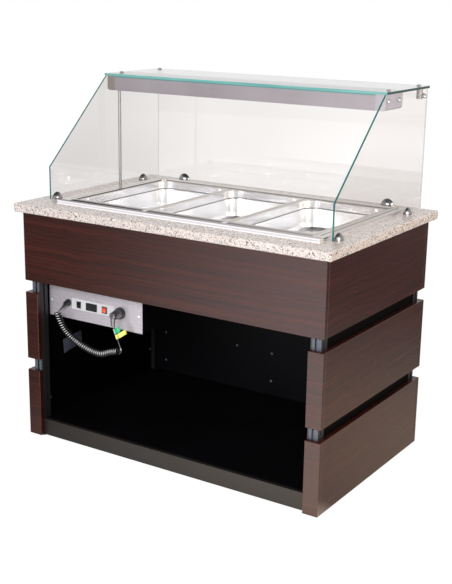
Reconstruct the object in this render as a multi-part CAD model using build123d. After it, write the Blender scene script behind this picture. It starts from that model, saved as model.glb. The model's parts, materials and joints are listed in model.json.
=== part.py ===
"""Bain marie counter: a wood-clad serving cabinet with a granite top, a heated well for three
gastronorm pans, a glass guard with a light canopy, and a control panel with a curly mains lead.

Millimetres. +Z is up and z = 0 is the floor. The operator stands at -Y, the cabinet's open side,
and +X is the operator's right. The origin is under the middle of the cabinet.
"""

import math
import os

from build123d import *

# Cabinet: laminate boards on slotted corner posts
BODY_W = 1232.0  # over the side boards
BODY_D = 764.0  # over the apron and the back boards
BOARD_T = 18.0
BOARD_H = 254.0
BOARD_EDGE = 1.0  # broken edge of the laminate
GROOVE_H = 44.0  # open groove between two tiers of boards
TIERS = ("lower", "middle", "upper")
FOOT_H = 8.0
FOOT_R = 17.0
POST = 38.0  # square corner post
POST_SLOT_W = 8.0
POST_SLOT_D = 6.0
PANEL_T = 20.0  # side and back panels between the posts
FLOOR_T = 18.0
FLOOR_Z = 70.0  # top of the cabinet floor
FASCIA_T = 16.0
RAIL_H = 38.0  # top rails that carry the slab

# Granite slab
SLAB_T = 30.0
SLAB_OVER_X = 24.0
SLAB_OVER_Y = 23.0
SLAB_BEVEL = 2.5
SLAB_CUT_CLEAR = 3.0

# Gastronorm 1/1 pans
PAN_COUNT = 3
PAN_L = 530.0
PAN_W = 325.0
PAN_GAP = 2.0
PAN_DEPTH = 100.0
PAN_T = 1.2
PAN_RIM_W = 13.5
PAN_RIM_H = 5.0
PAN_RIM_R = 20.0
PAN_MOUTH_R = 50.0
PAN_SHOULDER_Z = 26.0  # stacking shoulder, below the rim
PAN_SHOULDER_H = 4.0
PAN_SHOULDER_IN = 4.0
PAN_TAPER = 7.0  # draw-in of each wall from shoulder to floor
PAN_FLOOR_R = 18.0
PAN_FLOOR_STEPS = 2
PAN_LIFT = 130.0  # travel that brings a pan clear of the well

# Heated well that drops into the slab
WELL_X = 16.0  # the well stands off centre, clear of the conduit
WELL_Y = 8.0
FRAME_T = 2.0
FRAME_H = 12.0  # raised edge over the slab
FRAME_SIDE = 44.0
FRAME_FRONT = 56.0
FRAME_BACK = 30.0
FRAME_CORNER_R = 6.0
FRAME_BEVEL = 1.5
FRAME_BEAD_W = 2.0
FRAME_BEAD_H = 3.0
PAN_FIT = 2.0  # room round the row of pans
LEDGE_DROP = 7.0
LEDGE_W = 11.0
TANK_T = 2.0
TANK_DEPTH = 183.0  # from the ledge to the tank's floor
TANK_CORNER_R = 22.0
INSULATION = 15.0
FLOOR_INSULATION = 54.0
JACKET_T = 1.5
BAR_W = 20.0
BAR_H = 14.0
BAR_T = 2.0
BAR_CLEAR = 0.3
LUG_W = 16.0
LUG_D = 8.0
LUG_H = 6.0
ELEMENT_R = 4.0
ELEMENT_SIDES = 6
ELEMENT_Z = 18.0  # tube axis over the tank's floor
ELEMENT_LEGS = 4
ELEMENT_PITCH = 96.0
ELEMENT_BEND = 30.0
ELEMENT_END_GAP = 70.0  # from the tank's end walls
STRAP_W = 10.0
STRAP_BITE = 1.0  # how far a strap is welded into the tubes
PROBE_R = 3.5
PROBE_L = 110.0
PROBE_Z = 45.0
PROBE_FLANGE_R = 10.0
PROBE_FLANGE_T = 4.0

# Drain under the well, with a quarter-turn valve
DRAIN_X = 250.0
DRAIN_Y = 60.0
DRAIN_R = 12.0
DRAIN_BORE_R = 8.5
VALVE_DROP = 38.0  # valve centre under the jacket
VALVE_R = 19.0
VALVE_BEVEL = 6.0
VALVE_TAIL = 40.0
STEM_R = 5.0
STEM_L = 14.0
LEVER_HUB_R = 9.0
LEVER_HUB_T = 6.0
LEVER_L = 92.0
LEVER_W = 14.0
LEVER_T = 4.0
RUN_CLEAR = 0.05

# Control panel and its box, hung under the well
CTRL_WALL_GAP = 13.0
CTRL_SETBACK = 72.0  # panel face behind the apron's face
CTRL_W = 428.0
CTRL_H = 188.0
CTRL_T = 2.0
BOX_D = 230.0
BOX_T = 1.5
STRIP_X = 108.0  # from the panel's left edge
STRIP_Z = 40.0  # from the panel's lower edge
STRIP_W = 195.0
STRIP_H = 40.0
STRIP_T = 1.0
CONTROLS_Z = 59.0
LIGHT_SWITCH_X = 141.0
LIGHT_SWITCH_W = 19.0
MAIN_SWITCH_X = 260.0
MAIN_SWITCH_W = 23.0
SWITCH_H = 25.0
BEZEL_T = 2.0
BEZEL_LIP = 1.6  # how far a bezel covers the edge of its cut-out
SWITCH_WALL = 1.4
SWITCH_BODY_D = 20.0
SWITCH_POCKET_D = 14.0
ROCKER_GAP = 0.3
ROCKER_TILT = 12.0
ROCKER_RISE = 0.8  # middle of the rocker over its bezel
PIVOT_DEPTH = 3.0
PIVOT_R = 1.2
PIVOT_L = 1.0
DISPLAY_X = 200.0
DISPLAY_W = 50.0
DISPLAY_H = 28.0
DISPLAY_FRAME = 2.5
DISPLAY_SINK = 0.8
DISPLAY_BODY_D = 45.0

# Mains lead: gland, curls, plug and its socket
GLAND_X = 92.0
GLAND_Z = 60.0
GLAND_R = 13.0
GLAND_T = 5.0
GLAND_DOME_R = 12.0
GLAND_BOOT_L = 25.0
GLAND_BOOT_R = 6.5
SOCKET_X = 332.5
SOCKET_Z = 61.0
SOCKET_FLANGE_R = 21.5
SOCKET_FLANGE_T = 4.0
SOCKET_COLLAR_R = 20.5
SOCKET_COLLAR_L = 9.0
PLUG_R = 18.0
PLUG_END_R = 11.5
PLUG_L = 49.0
PLUG_BEVEL = 4.0
PLUG_CLEAR = 0.3
PLUG_BOOT_R = 10.5
PLUG_BOOT_MID_R = 7.5
PLUG_BOOT_END_R = 6.0
PLUG_BOOT_TIP = 12.0  # length of the boot that follows the lead
WIRE_D = 5.4
WIRE_SIDES = 4
LEAD_SIDES = 8
CURL_R = 10.4  # coil axis to wire axis
CURL_TURNS = 36
CURL_START = -85.0  # where on its circle the wire joins the coil, in degrees
CURL_END = 270.0
LEAD_STRAIGHT = 7.0
TAG_T = 0.8
TAG_SLEEVE_T = 1.4  # film wound round the lead
TAG_CLEAR = 0.05
TAG_TURN = 28.0  # degrees that a tag points back towards the plate

# Glass guard
GUARD_W = 1160.0  # over the side panes
GUARD_H = 435.0  # from the slab to the top of the shelf pane
GUARD_BACK_INSET = 20.0  # back pane's outer face from the slab's back edge
GUARD_FRONT_INSET = 128.0  # side pane's foot from the slab's front edge
GUARD_KNEE = 121.0
PANE_T = 6.0
PANE_SEAT = 2.0  # glass over the slab, in its clamps
PANE_JOINT = 0.5
SHELF_T = 8.0
SHELF_D = 345.0
SHELF_OVER_X = 3.0
SHELF_OVER_BACK = 8.0
PANE_TOP_IN = 2.0
CLAMP_R = 25.0
CLAMP_BULGE = 17.0
CLAMP_RIM = 5.0
CLAMP_SIDE_FRONT = 35.0  # clamp centre from the side pane's front edge
CLAMP_SIDE_BACK = 104.0  # clamp centre from the back pane
CLAMP_BACK_X = 448.0
CONNECTOR_IN = 18.0  # corner post axis from the panes' inner faces
CONNECTOR_R = 11.0
CONNECTOR_DROP = 25.0
CONNECTOR_ARM_R = 7.0
BUTTON_R = 9.0
BUTTON_TOP_R = 6.0
BUTTON_H = 5.0
BUTTON_SIDES = 16  # faces round a head and its shank
SHANK_R = 4.0

# Light canopy under the shelf pane
CANOPY_D = 128.0
CANOPY_H = 54.0
CANOPY_T = 1.5
CANOPY_LIP = 24.0
CANOPY_FRONT_IN = 6.0  # behind the shelf pane's front edge
CANOPY_END_W = 34.0
CANOPY_END_R = 11.0
CANOPY_SCREW_IN = 17.5
CANOPY_SCREW_PITCH = 83.0
CANOPY_SCREW_Z = 22.0
LAMP_R = 8.0
LAMP_L = 1000.0
LAMP_DROP = 24.0
HOLDER_W = 26.0
HOLDER_T = 12.0
CONDUIT_R = 5.5
CONDUIT_GAP = 2.0
CONDUIT_SINK = 26.0  # how far the conduit reaches into the slab
CONDUIT_COLLAR_R = 7.0
CONDUIT_COLLAR_T = 4.0
HOLE_CLEAR = 0.4

# Places worked out from the sizes above
HALF_W = BODY_W / 2
HALF_D = BODY_D / 2
CORE_X = HALF_W - BOARD_T  # outer faces of posts and panels
CORE_Y = HALF_D - BOARD_T
TIER_PITCH = BOARD_H + GROOVE_H
SLAB_Z = FOOT_H + len(TIERS) * TIER_PITCH - GROOVE_H
SLAB_TOP = SLAB_Z + SLAB_T
SLAB_HALF_X = HALF_W + SLAB_OVER_X
SLAB_HALF_Y = HALF_D + SLAB_OVER_Y
FLOOR_UNDER = FLOOR_Z - FLOOR_T

PAN_PITCH = PAN_W + PAN_GAP
ROW_W = PAN_COUNT * PAN_PITCH - PAN_GAP
FRAME_Z = SLAB_TOP + FRAME_H
LEDGE_Z = FRAME_Z - LEDGE_DROP
PAN_TOP = LEDGE_Z + PAN_RIM_H
TANK_IN = PAN_FIT - LEDGE_W  # tank's inner faces against the row of pans
TANK_FLOOR = LEDGE_Z - TANK_DEPTH
JACKET_IN = TANK_IN + TANK_T + INSULATION
JACKET_Z = TANK_FLOOR - TANK_T - FLOOR_INSULATION
FRAME_LEFT = WELL_X - ROW_W / 2 - FRAME_SIDE

CTRL_X0 = -CORE_X + PANEL_T + CTRL_WALL_GAP
CTRL_Y = -HALF_D + CTRL_SETBACK
CTRL_Z0 = JACKET_Z - CTRL_H

PANE_X = GUARD_W / 2  # outer faces of the side panes
PANE_IN_X = PANE_X - PANE_T
BACK_Y = SLAB_HALF_Y - GUARD_BACK_INSET
BACK_IN_Y = BACK_Y - PANE_T
PANE_FRONT_Y = -SLAB_HALF_Y + GUARD_FRONT_INSET
SHELF_TOP = SLAB_TOP + GUARD_H
SHELF_Z = SHELF_TOP - SHELF_T
SHELF_BACK_Y = BACK_Y + SHELF_OVER_BACK
SHELF_FRONT_Y = SHELF_BACK_Y - SHELF_D
CANOPY_Y0 = SHELF_FRONT_Y + CANOPY_FRONT_IN
CANOPY_Y1 = CANOPY_Y0 + CANOPY_D
CANOPY_Z = SHELF_Z - CANOPY_H
CANOPY_HALF = PANE_IN_X - CANOPY_END_W
CONDUIT_X = FRAME_LEFT - FRAME_BEAD_W - CONDUIT_GAP - CONDUIT_R
CONDUIT_Y = CANOPY_Y0 + CANOPY_LIP / 2
CORNER_X = PANE_IN_X - CONNECTOR_IN
CORNER_Y = BACK_IN_Y - CONNECTOR_IN
CORNER_Z = SHELF_Z - CONNECTOR_DROP

nodes = {}


def block(x0, x1, y0, y1, z0, z1):
    """A box between two corners."""
    middle = Pos((x0 + x1) / 2, (y0 + y1) / 2, (z0 + z1) / 2)
    return middle * Box(x1 - x0, y1 - y0, z1 - z0)


def board(x0, x1, y0, y1, z0, z1):
    """A laminate board with broken edges."""
    plain = block(x0, x1, y0, y1, z0, z1)
    return chamfer(plain.edges(), BOARD_EDGE)


def rod(start, end, radius, end_radius=None):
    """A round bar, or a cone, from one point to another."""
    start = Vector(*start)
    way = Vector(*end) - start
    plane = Plane(start, z_dir=way)
    low = plane * Circle(radius)
    if end_radius is None:
        return extrude(low, way.length, dir=way.normalized())
    high = plane.offset(way.length) * Circle(end_radius)
    return loft([low, high])


def group(shapes):
    """Several separate solids kept as one node."""
    solids = [solid for shape in shapes for solid in shape.solids()]
    return Compound(children=solids)


def tier_z(tier):
    """Lower edge of a tier of boards."""
    return FOOT_H + TIERS.index(tier) * TIER_PITCH


def in_panel(x, y, z):
    """A point by its place on the control panel: right, forward and up from its lower left."""
    return Vector(CTRL_X0 + x, CTRL_Y - y, CTRL_Z0 + z)


# Cladding: three tiers of boards round the cabinet, with an apron over the open side


def cladding():
    """Boards on the left, the right and the back, the front apron and the narrow front returns."""
    for tier in TIERS:
        z0 = tier_z(tier)
        z1 = z0 + BOARD_H
        nodes[f"left_{tier}_board"] = board(-HALF_W, -CORE_X, -CORE_Y, CORE_Y, z0, z1)
        nodes[f"right_{tier}_board"] = board(CORE_X, HALF_W, -CORE_Y, CORE_Y, z0, z1)
        nodes[f"back_{tier}_board"] = board(-HALF_W, HALF_W, CORE_Y, HALF_D, z0, z1)
        if tier == TIERS[-1]:
            nodes["front_apron"] = board(-HALF_W, HALF_W, -HALF_D, -CORE_Y, z0, z1)
            continue
        inner = CORE_X - POST
        left = board(-HALF_W, -inner, -HALF_D, -CORE_Y, z0, z1)
        right = board(inner, HALF_W, -HALF_D, -CORE_Y, z0, z1)
        nodes[f"front_{tier}_returns"] = group([left, right])


# Carcass: posts, rails, panels, floor and feet


def corner_post():
    """A slotted square post, standing on its own origin."""
    profile = Rectangle(POST, POST)
    slot = Pos(POST / 2 - POST_SLOT_D / 2, 0) * Rectangle(POST_SLOT_D, POST_SLOT_W)
    for turn in range(4):
        profile -= Rot(0, 0, 90 * turn) * slot
    return extrude(profile, SLAB_Z - FOOT_H)


def carcass():
    """The frame that carries the slab, and the panels that close it on three sides."""
    post = corner_post()
    centre_x = CORE_X - POST / 2
    centre_y = CORE_Y - POST / 2
    places = [(x, y) for x in (-centre_x, centre_x) for y in (-centre_y, centre_y)]
    nodes["corner_posts"] = group([Pos(x, y, FOOT_H) * post for x, y in places])

    foot = Cylinder(FOOT_R, FOOT_H, align=(Align.CENTER, Align.CENTER, Align.MIN))
    nodes["levelling_feet"] = group([Pos(x, y, 0) * foot for x, y in places])

    in_x = CORE_X - POST
    in_y = CORE_Y - POST
    top = SLAB_Z - RAIL_H
    nodes["carcass_rails"] = group(
        [
            block(-in_x, in_x, -CORE_Y, -in_y, top, SLAB_Z),
            block(-in_x, in_x, in_y, CORE_Y, top, SLAB_Z),
            block(-CORE_X, -in_x, -in_y, in_y, top, SLAB_Z),
            block(in_x, CORE_X, -in_y, in_y, top, SLAB_Z),
            block(-in_x, in_x, -CORE_Y + FASCIA_T, -in_y, FOOT_H, FLOOR_UNDER),
            block(-in_x, in_x, in_y, CORE_Y, FOOT_H, FLOOR_UNDER),
            block(-CORE_X, -in_x, -in_y, in_y, FOOT_H, FLOOR_UNDER),
            block(in_x, CORE_X, -in_y, in_y, FOOT_H, FLOOR_UNDER),
        ]
    )
    wall_x = CORE_X - PANEL_T
    wall_y = CORE_Y - PANEL_T
    nodes["left_side_panel"] = block(-CORE_X, -wall_x, -in_y, in_y, FLOOR_UNDER, top)
    nodes["right_side_panel"] = block(wall_x, CORE_X, -in_y, in_y, FLOOR_UNDER, top)
    nodes["back_panel"] = block(-in_x, in_x, wall_y, CORE_Y, FLOOR_UNDER, top)
    nodes["plinth_fascia"] = block(-in_x, in_x, -CORE_Y, -CORE_Y + FASCIA_T, FOOT_H, FLOOR_Z)

    floor = block(-wall_x, wall_x, -CORE_Y + FASCIA_T, wall_y, FLOOR_UNDER, FLOOR_Z)
    for x, y in places:
        floor -= Pos(x, y, FLOOR_UNDER) * Box(POST, POST, 3 * FLOOR_T)
    nodes["cabinet_floor"] = floor


# Granite slab


def granite_top():
    """The slab, cut out for the well and drilled for the conduit."""
    slab = block(-SLAB_HALF_X, SLAB_HALF_X, -SLAB_HALF_Y, SLAB_HALF_Y, SLAB_Z, SLAB_TOP)
    slab = chamfer(slab.edges(), SLAB_BEVEL)
    slab -= row_prism(JACKET_IN + JACKET_T + SLAB_CUT_CLEAR, SLAB_Z - 1, SLAB_TOP + 1, TANK_CORNER_R)
    drill = CONDUIT_R + HOLE_CLEAR
    slab -= rod((CONDUIT_X, CONDUIT_Y, SLAB_Z - 1), (CONDUIT_X, CONDUIT_Y, SLAB_TOP + 1), drill)
    nodes["granite_top"] = slab


# Heated well


def row_prism(margin, z0, z1, corner):
    """An upright prism round the row of pans, wider than the row by margin on each side."""
    outline = RectangleRounded(ROW_W + 2 * margin, PAN_L + 2 * margin, corner)
    return extrude(Pos(WELL_X, WELL_Y, z0) * outline, z1 - z0)


def mitred_rails(frame):
    """The frame's front, right, back and left rails, cut along the mitres where they meet."""
    inner = []
    outer = []
    for side_x, side_y in ((-1, -1), (1, -1), (1, 1), (-1, 1)):
        corner = Vector(WELL_X + side_x * ROW_W / 2, WELL_Y + side_y * PAN_L / 2)
        width = Vector(side_x * FRAME_SIDE, side_y * (FRAME_FRONT if side_y < 0 else FRAME_BACK))
        inner.append(corner - width * 0.5)
        outer.append(corner + width * 1.5)
    rails = []
    for i in range(4):
        after = (i + 1) % 4
        sector = make_face(Polyline(outer[i], outer[after], inner[after], inner[i], close=True))
        rails.append(frame & extrude(Pos(0, 0, SLAB_TOP - FRAME_H) * sector, 3 * FRAME_H))
    return rails


def well_frame():
    """The raised stainless frame on the slab, with the sunk ledge that carries the pans."""
    depth = PAN_L + FRAME_FRONT + FRAME_BACK
    centre = Pos(WELL_X, WELL_Y + (FRAME_BACK - FRAME_FRONT) / 2, SLAB_TOP)
    outline = RectangleRounded(ROW_W + 2 * FRAME_SIDE, depth, FRAME_CORNER_R)
    frame = extrude(centre * outline, FRAME_H)
    frame = chamfer(frame.edges().group_by(Axis.Z)[-1], FRAME_BEVEL)
    frame += extrude(centre * offset(outline, FRAME_BEAD_W), FRAME_BEAD_H)
    frame -= extrude(centre * offset(outline, -FRAME_T), FRAME_H - FRAME_T)
    wall = PAN_FIT + FRAME_T
    corner = PAN_RIM_R + PAN_FIT
    frame += row_prism(wall, LEDGE_Z - FRAME_T, FRAME_Z - FRAME_T, corner + FRAME_T)
    frame -= row_prism(PAN_FIT, LEDGE_Z, FRAME_Z + 1, corner)
    frame -= row_prism(TANK_IN, LEDGE_Z - FRAME_T - 1, FRAME_Z, TANK_CORNER_R)
    nodes["well_frame"] = group(mitred_rails(frame))


def bar_places():
    """X of the bars between neighbouring pans."""
    first = WELL_X - ROW_W / 2 + PAN_W + PAN_GAP / 2
    return [first + i * PAN_PITCH for i in range(PAN_COUNT - 1)]


def well():
    """Tank, insulated jacket, divider bars, heating element and temperature probe."""
    tank_top = LEDGE_Z - FRAME_T
    tank = row_prism(TANK_IN + TANK_T, TANK_FLOOR - TANK_T, tank_top, TANK_CORNER_R + TANK_T)
    tank -= row_prism(TANK_IN, TANK_FLOOR, tank_top + 1, TANK_CORNER_R)
    half_l = PAN_L / 2 + TANK_IN
    lug_top = LEDGE_Z - BAR_H
    for x in bar_places():
        for side in (-1, 1):
            wall_y = WELL_Y + side * half_l
            y0, y1 = sorted((wall_y, wall_y - side * LUG_D))
            tank += block(x - LUG_W / 2, x + LUG_W / 2, y0, y1, lug_top - LUG_H, lug_top)
    tank -= rod((DRAIN_X, DRAIN_Y, TANK_FLOOR - 2 * TANK_T), (DRAIN_X, DRAIN_Y, TANK_FLOOR + 1), DRAIN_BORE_R)
    nodes["well_tank"] = tank

    jacket_top = FRAME_Z - FRAME_T
    jacket = row_prism(JACKET_IN + JACKET_T, JACKET_Z, jacket_top, TANK_CORNER_R)
    jacket -= row_prism(JACKET_IN, JACKET_Z + JACKET_T, jacket_top + 1, TANK_CORNER_R - JACKET_T)
    drill = DRAIN_R + HOLE_CLEAR
    jacket -= rod((DRAIN_X, DRAIN_Y, JACKET_Z - 1), (DRAIN_X, DRAIN_Y, JACKET_Z + 2 * JACKET_T), drill)
    nodes["well_jacket"] = jacket

    y0 = WELL_Y - half_l + BAR_CLEAR
    y1 = WELL_Y + half_l - BAR_CLEAR
    bars = []
    for x in bar_places():
        bar = block(x - BAR_W / 2, x + BAR_W / 2, y0, y1, LEDGE_Z - BAR_H, LEDGE_Z)
        inside = BAR_W / 2 - BAR_T
        hollow_l = LUG_D + BAR_T
        bar -= block(x - inside, x + inside, y0 + hollow_l, y1 - hollow_l, LEDGE_Z - 2 * BAR_H, LEDGE_Z - BAR_T)
        bars.append(bar)
    nodes["pan_divider_bars"] = group(bars)
    heating_element()

    wall_x = WELL_X - ROW_W / 2 - TANK_IN
    z = TANK_FLOOR + PROBE_Z
    flange_end = (wall_x + PROBE_FLANGE_T, WELL_Y, z)
    probe = rod((wall_x, WELL_Y, z), flange_end, PROBE_FLANGE_R)
    probe += rod(flange_end, (wall_x + PROBE_L, WELL_Y, z), PROBE_R)
    nodes["temperature_probe"] = probe


def heating_element():
    """A tube that winds over the tank's floor on two straps, with both ends down through the floor."""
    z = TANK_FLOOR + ELEMENT_Z
    reach = ROW_W / 2 + TANK_IN - ELEMENT_END_GAP
    left = WELL_X - reach
    right = WELL_X + reach
    first_y = WELL_Y - (ELEMENT_LEGS - 1) * ELEMENT_PITCH / 2
    points = [(left, first_y, TANK_FLOOR)]
    for leg in range(ELEMENT_LEGS):
        y = first_y + leg * ELEMENT_PITCH
        ends = [(left, y, z), (right, y, z)]
        points += ends if leg % 2 == 0 else ends[::-1]
    points.append((left, first_y + (ELEMENT_LEGS - 1) * ELEMENT_PITCH, TANK_FLOOR))
    down_bend = 2 * ELEMENT_R
    radii = [down_bend] + [ELEMENT_BEND] * (len(points) - 4) + [down_bend]
    path = FilletPolyline(*points, radius=radii)
    element = tube(path, RegularPolygon(ELEMENT_R, ELEMENT_SIDES))
    strap_h = ELEMENT_Z - ELEMENT_R + STRAP_BITE
    strap_half = (ELEMENT_LEGS - 1) * ELEMENT_PITCH / 2 + STRAP_W
    for x in (WELL_X - reach / 2, WELL_X + reach / 2):
        element += block(
            x - STRAP_W / 2,
            x + STRAP_W / 2,
            WELL_Y - strap_half,
            WELL_Y + strap_half,
            TANK_FLOOR,
            TANK_FLOOR + strap_h,
        )
    nodes["heating_element"] = element


def pan_section(inset, z, corner):
    """A level rounded section of a pan, drawn in from its mouth by inset."""
    width = PAN_W - 2 * (PAN_RIM_W + inset)
    length = PAN_L - 2 * (PAN_RIM_W + inset)
    return Pos(0, 0, z) * RectangleRounded(width, length, corner)


def pan_body(skin):
    """The drawn part of a pan, its inner face moved out by skin; z = 0 is the rim's top."""
    shoulder_end = PAN_SHOULDER_Z + PAN_SHOULDER_H
    foot = PAN_SHOULDER_IN + PAN_TAPER
    sections = [
        pan_section(-skin, 0, PAN_MOUTH_R + skin),
        pan_section(-skin, -PAN_SHOULDER_Z - skin, PAN_MOUTH_R + skin),
        pan_section(PAN_SHOULDER_IN - skin, -shoulder_end - skin, PAN_MOUTH_R - PAN_SHOULDER_IN + skin),
    ]
    round_r = PAN_FLOOR_R + skin
    floor_z = -PAN_DEPTH + PAN_T - skin
    for step in range(PAN_FLOOR_STEPS + 1):
        angle = math.pi / 2 * step / PAN_FLOOR_STEPS
        inset = foot - skin + round_r * (1 - math.cos(angle))
        z = floor_z + round_r * (1 - math.sin(angle))
        sections.append(pan_section(inset, z, PAN_MOUTH_R - inset))
    return loft(sections, ruled=True)


def pans():
    """Three pans, each with a turned-down rim, a stacking shoulder and a rounded floor."""
    cavity = pan_body(0)
    outside = pan_body(PAN_T)
    rim_outline = RectangleRounded(PAN_W, PAN_L, PAN_RIM_R)
    rim = extrude(Pos(0, 0, -PAN_RIM_H) * rim_outline, PAN_RIM_H)
    under = Pos(0, 0, -PAN_RIM_H - PAN_T) * offset(rim_outline, -PAN_T)
    rim -= extrude(under, PAN_RIM_H)
    pan = rim + outside - cavity
    first = WELL_X - ROW_W / 2 + PAN_W / 2
    for i, name in enumerate(("left_pan", "middle_pan", "right_pan")):
        nodes[name] = Pos(first + i * PAN_PITCH, WELL_Y, PAN_TOP) * pan


# Drain


def drain():
    """A drain pipe with a quarter-turn valve under the tank, and the valve's lever."""
    valve_z = JACKET_Z - VALVE_DROP
    tail_z = valve_z - VALVE_TAIL
    pipe = rod((DRAIN_X, DRAIN_Y, tail_z), (DRAIN_X, DRAIN_Y, TANK_FLOOR - TANK_T), DRAIN_R)
    barrel = Cylinder(VALVE_R, 2 * VALVE_R)
    valve = pipe + Pos(DRAIN_X, DRAIN_Y, valve_z) * chamfer(barrel.edges(), VALVE_BEVEL)
    stem_y = DRAIN_Y - VALVE_R - STEM_L
    valve += rod((DRAIN_X, DRAIN_Y, valve_z), (DRAIN_X, stem_y, valve_z), STEM_R)
    valve -= rod((DRAIN_X, DRAIN_Y, tail_z - 1), (DRAIN_X, DRAIN_Y, TANK_FLOOR), DRAIN_BORE_R)
    nodes["drain_valve"] = valve

    hub_y = stem_y + (STEM_L - LEVER_HUB_T) / 2
    hub_end = hub_y + LEVER_HUB_T
    lever = rod((DRAIN_X, hub_y, valve_z), (DRAIN_X, hub_end, valve_z), LEVER_HUB_R)
    half = LEVER_W / 2
    grip = block(DRAIN_X, DRAIN_X + LEVER_L, hub_y, hub_y + LEVER_T, valve_z - half, valve_z + half)
    tip = grip.edges().filter_by(Axis.Y).group_by(Axis.X)[-1]
    lever += fillet(tip, half * 0.9)
    lever -= rod((DRAIN_X, stem_y - 1, valve_z), (DRAIN_X, hub_end + 1, valve_z), STEM_R + RUN_CLEAR)
    nodes["drain_lever"] = lever


# Control panel


def panel_block(x0, x1, forward0, forward1, z0, z1):
    """A box placed on the control panel."""
    low = in_panel(x0, forward1, z0)
    high = in_panel(x1, forward0, z1)
    return block(low.X, high.X, low.Y, high.Y, low.Z, high.Z)


def cut_out(x, w, h, forward0, forward1):
    """The hole for a snap-in control, centred on the row of controls."""
    half_w = w / 2 - BEZEL_LIP
    half_h = h / 2 - BEZEL_LIP
    return panel_block(x - half_w, x + half_w, forward0, forward1, CONTROLS_Z - half_h, CONTROLS_Z + half_h)


CONTROLS = (
    (LIGHT_SWITCH_X, LIGHT_SWITCH_W, SWITCH_H),
    (DISPLAY_X, DISPLAY_W, DISPLAY_H),
    (MAIN_SWITCH_X, MAIN_SWITCH_W, SWITCH_H),
)


def control_panel():
    """The stainless plate, its pale strip, and the folded box behind the plate."""
    plate = panel_block(0, CTRL_W, -CTRL_T, 0, 0, CTRL_H)
    strip = panel_block(STRIP_X, STRIP_X + STRIP_W, 0, STRIP_T, STRIP_Z, STRIP_Z + STRIP_H)
    for x, w, h in CONTROLS:
        through = cut_out(x, w, h, -2 * CTRL_T, 2 * STRIP_T)
        plate -= through
        strip -= through
    nodes["control_panel"] = plate
    nodes["control_strip"] = strip

    box = panel_block(BOX_T, CTRL_W - BOX_T, -CTRL_T - BOX_D, -CTRL_T, BOX_T, CTRL_H)
    inside = panel_block(
        2 * BOX_T, CTRL_W - 2 * BOX_T, BOX_T - CTRL_T - BOX_D, 0, 2 * BOX_T, CTRL_H - BOX_T
    )
    nodes["control_box"] = box - inside


def switch(x, w):
    """A rocker switch: its housing and its rocker, tilted to the off side."""
    front = STRIP_T + BEZEL_T
    half_w = w / 2
    half_h = SWITCH_H / 2
    bezel = panel_block(x - half_w, x + half_w, STRIP_T, front, CONTROLS_Z - half_h, CONTROLS_Z + half_h)
    body = cut_out(x, w, SWITCH_H, front - SWITCH_BODY_D, front)
    pocket_w = half_w - BEZEL_LIP - SWITCH_WALL
    pocket_h = half_h - BEZEL_LIP - SWITCH_WALL
    pocket = panel_block(
        x - pocket_w, x + pocket_w, front - SWITCH_POCKET_D, front + 1, CONTROLS_Z - pocket_h, CONTROLS_Z + pocket_h
    )
    pivot_forward = front - PIVOT_DEPTH
    pin_x = pocket_w + PIVOT_L
    bore = rod(
        in_panel(x - pin_x - RUN_CLEAR, pivot_forward, CONTROLS_Z),
        in_panel(x + pin_x + RUN_CLEAR, pivot_forward, CONTROLS_Z),
        PIVOT_R + RUN_CLEAR,
    )
    housing = bezel + body - pocket - bore

    reach = pocket_h - ROCKER_GAP
    peak = PIVOT_DEPTH + ROCKER_RISE
    wide = 2 * reach
    edge = peak + wide * math.tan(math.radians(ROCKER_TILT))
    notch = Polyline((peak, 0), (edge, wide), (2 * wide, wide), (2 * wide, -wide), (edge, -wide), close=True)
    profile = Rot(0, 0, ROCKER_TILT) * (Circle(reach) - make_face(notch))
    rocker_half = pocket_w - ROCKER_GAP
    pivot = in_panel(x - rocker_half, pivot_forward, CONTROLS_Z)
    across = Plane(pivot, x_dir=(0, -1, 0), z_dir=(1, 0, 0))
    rocker = extrude(across * profile, 2 * rocker_half)
    rocker += rod(
        in_panel(x - pin_x, pivot_forward, CONTROLS_Z),
        in_panel(x + pin_x, pivot_forward, CONTROLS_Z),
        PIVOT_R,
    )
    return housing, rocker


def controls():
    """The two rocker switches and the thermostat display on the pale strip."""
    light_housing, light_rocker = switch(LIGHT_SWITCH_X, LIGHT_SWITCH_W)
    main_housing, main_rocker = switch(MAIN_SWITCH_X, MAIN_SWITCH_W)
    nodes["switch_housings"] = group([light_housing, main_housing])
    nodes["light_rocker"] = light_rocker
    nodes["main_rocker"] = main_rocker

    front = STRIP_T + BEZEL_T
    half_w = DISPLAY_W / 2
    half_h = DISPLAY_H / 2
    x = DISPLAY_X
    z = CONTROLS_Z
    display = panel_block(x - half_w, x + half_w, STRIP_T, front, z - half_h, z + half_h)
    display += cut_out(x, DISPLAY_W, DISPLAY_H, front - DISPLAY_BODY_D, front)
    half_w -= DISPLAY_FRAME
    half_h -= DISPLAY_FRAME
    display -= panel_block(x - half_w, x + half_w, front - DISPLAY_SINK, front + 1, z - half_h, z + half_h)
    nodes["thermostat_display"] = display


# Mains lead

COIL_ROUTE = (
    in_panel(64, 32, 23),
    in_panel(84, 32, -26),
    in_panel(140, 32, -66),
    in_panel(210, 33, -90),
    in_panel(268, 33, -98),
    in_panel(310, 32, -78),
    in_panel(346, 32, -70),
)
COIL_LEAVES = Vector(0.75, 0, 0.66).normalized()
COIL_LEAVES_BY = 12.0
LEAD_BEND = 9.0  # from the coil's end to the lead's sharp bend
LEAD_POINTS = (
    in_panel(353, 36.4, -42),
    in_panel(334, 42, 18.5),
)


def route_through(points):
    """A path along hand-set points, each corner rounded as far as its shorter run lets it."""
    radii = []
    for before, corner, after in zip(points, points[1:], points[2:]):
        run_in = corner - before
        run_out = after - corner
        turn = math.radians(run_in.get_angle(run_out))
        radii.append(0.45 * min(run_in.length, run_out.length) / math.tan(turn / 2))
    print("bend radii", [round(radius, 1) for radius in radii])
    return FilletPolyline(*points, radius=radii)


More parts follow.
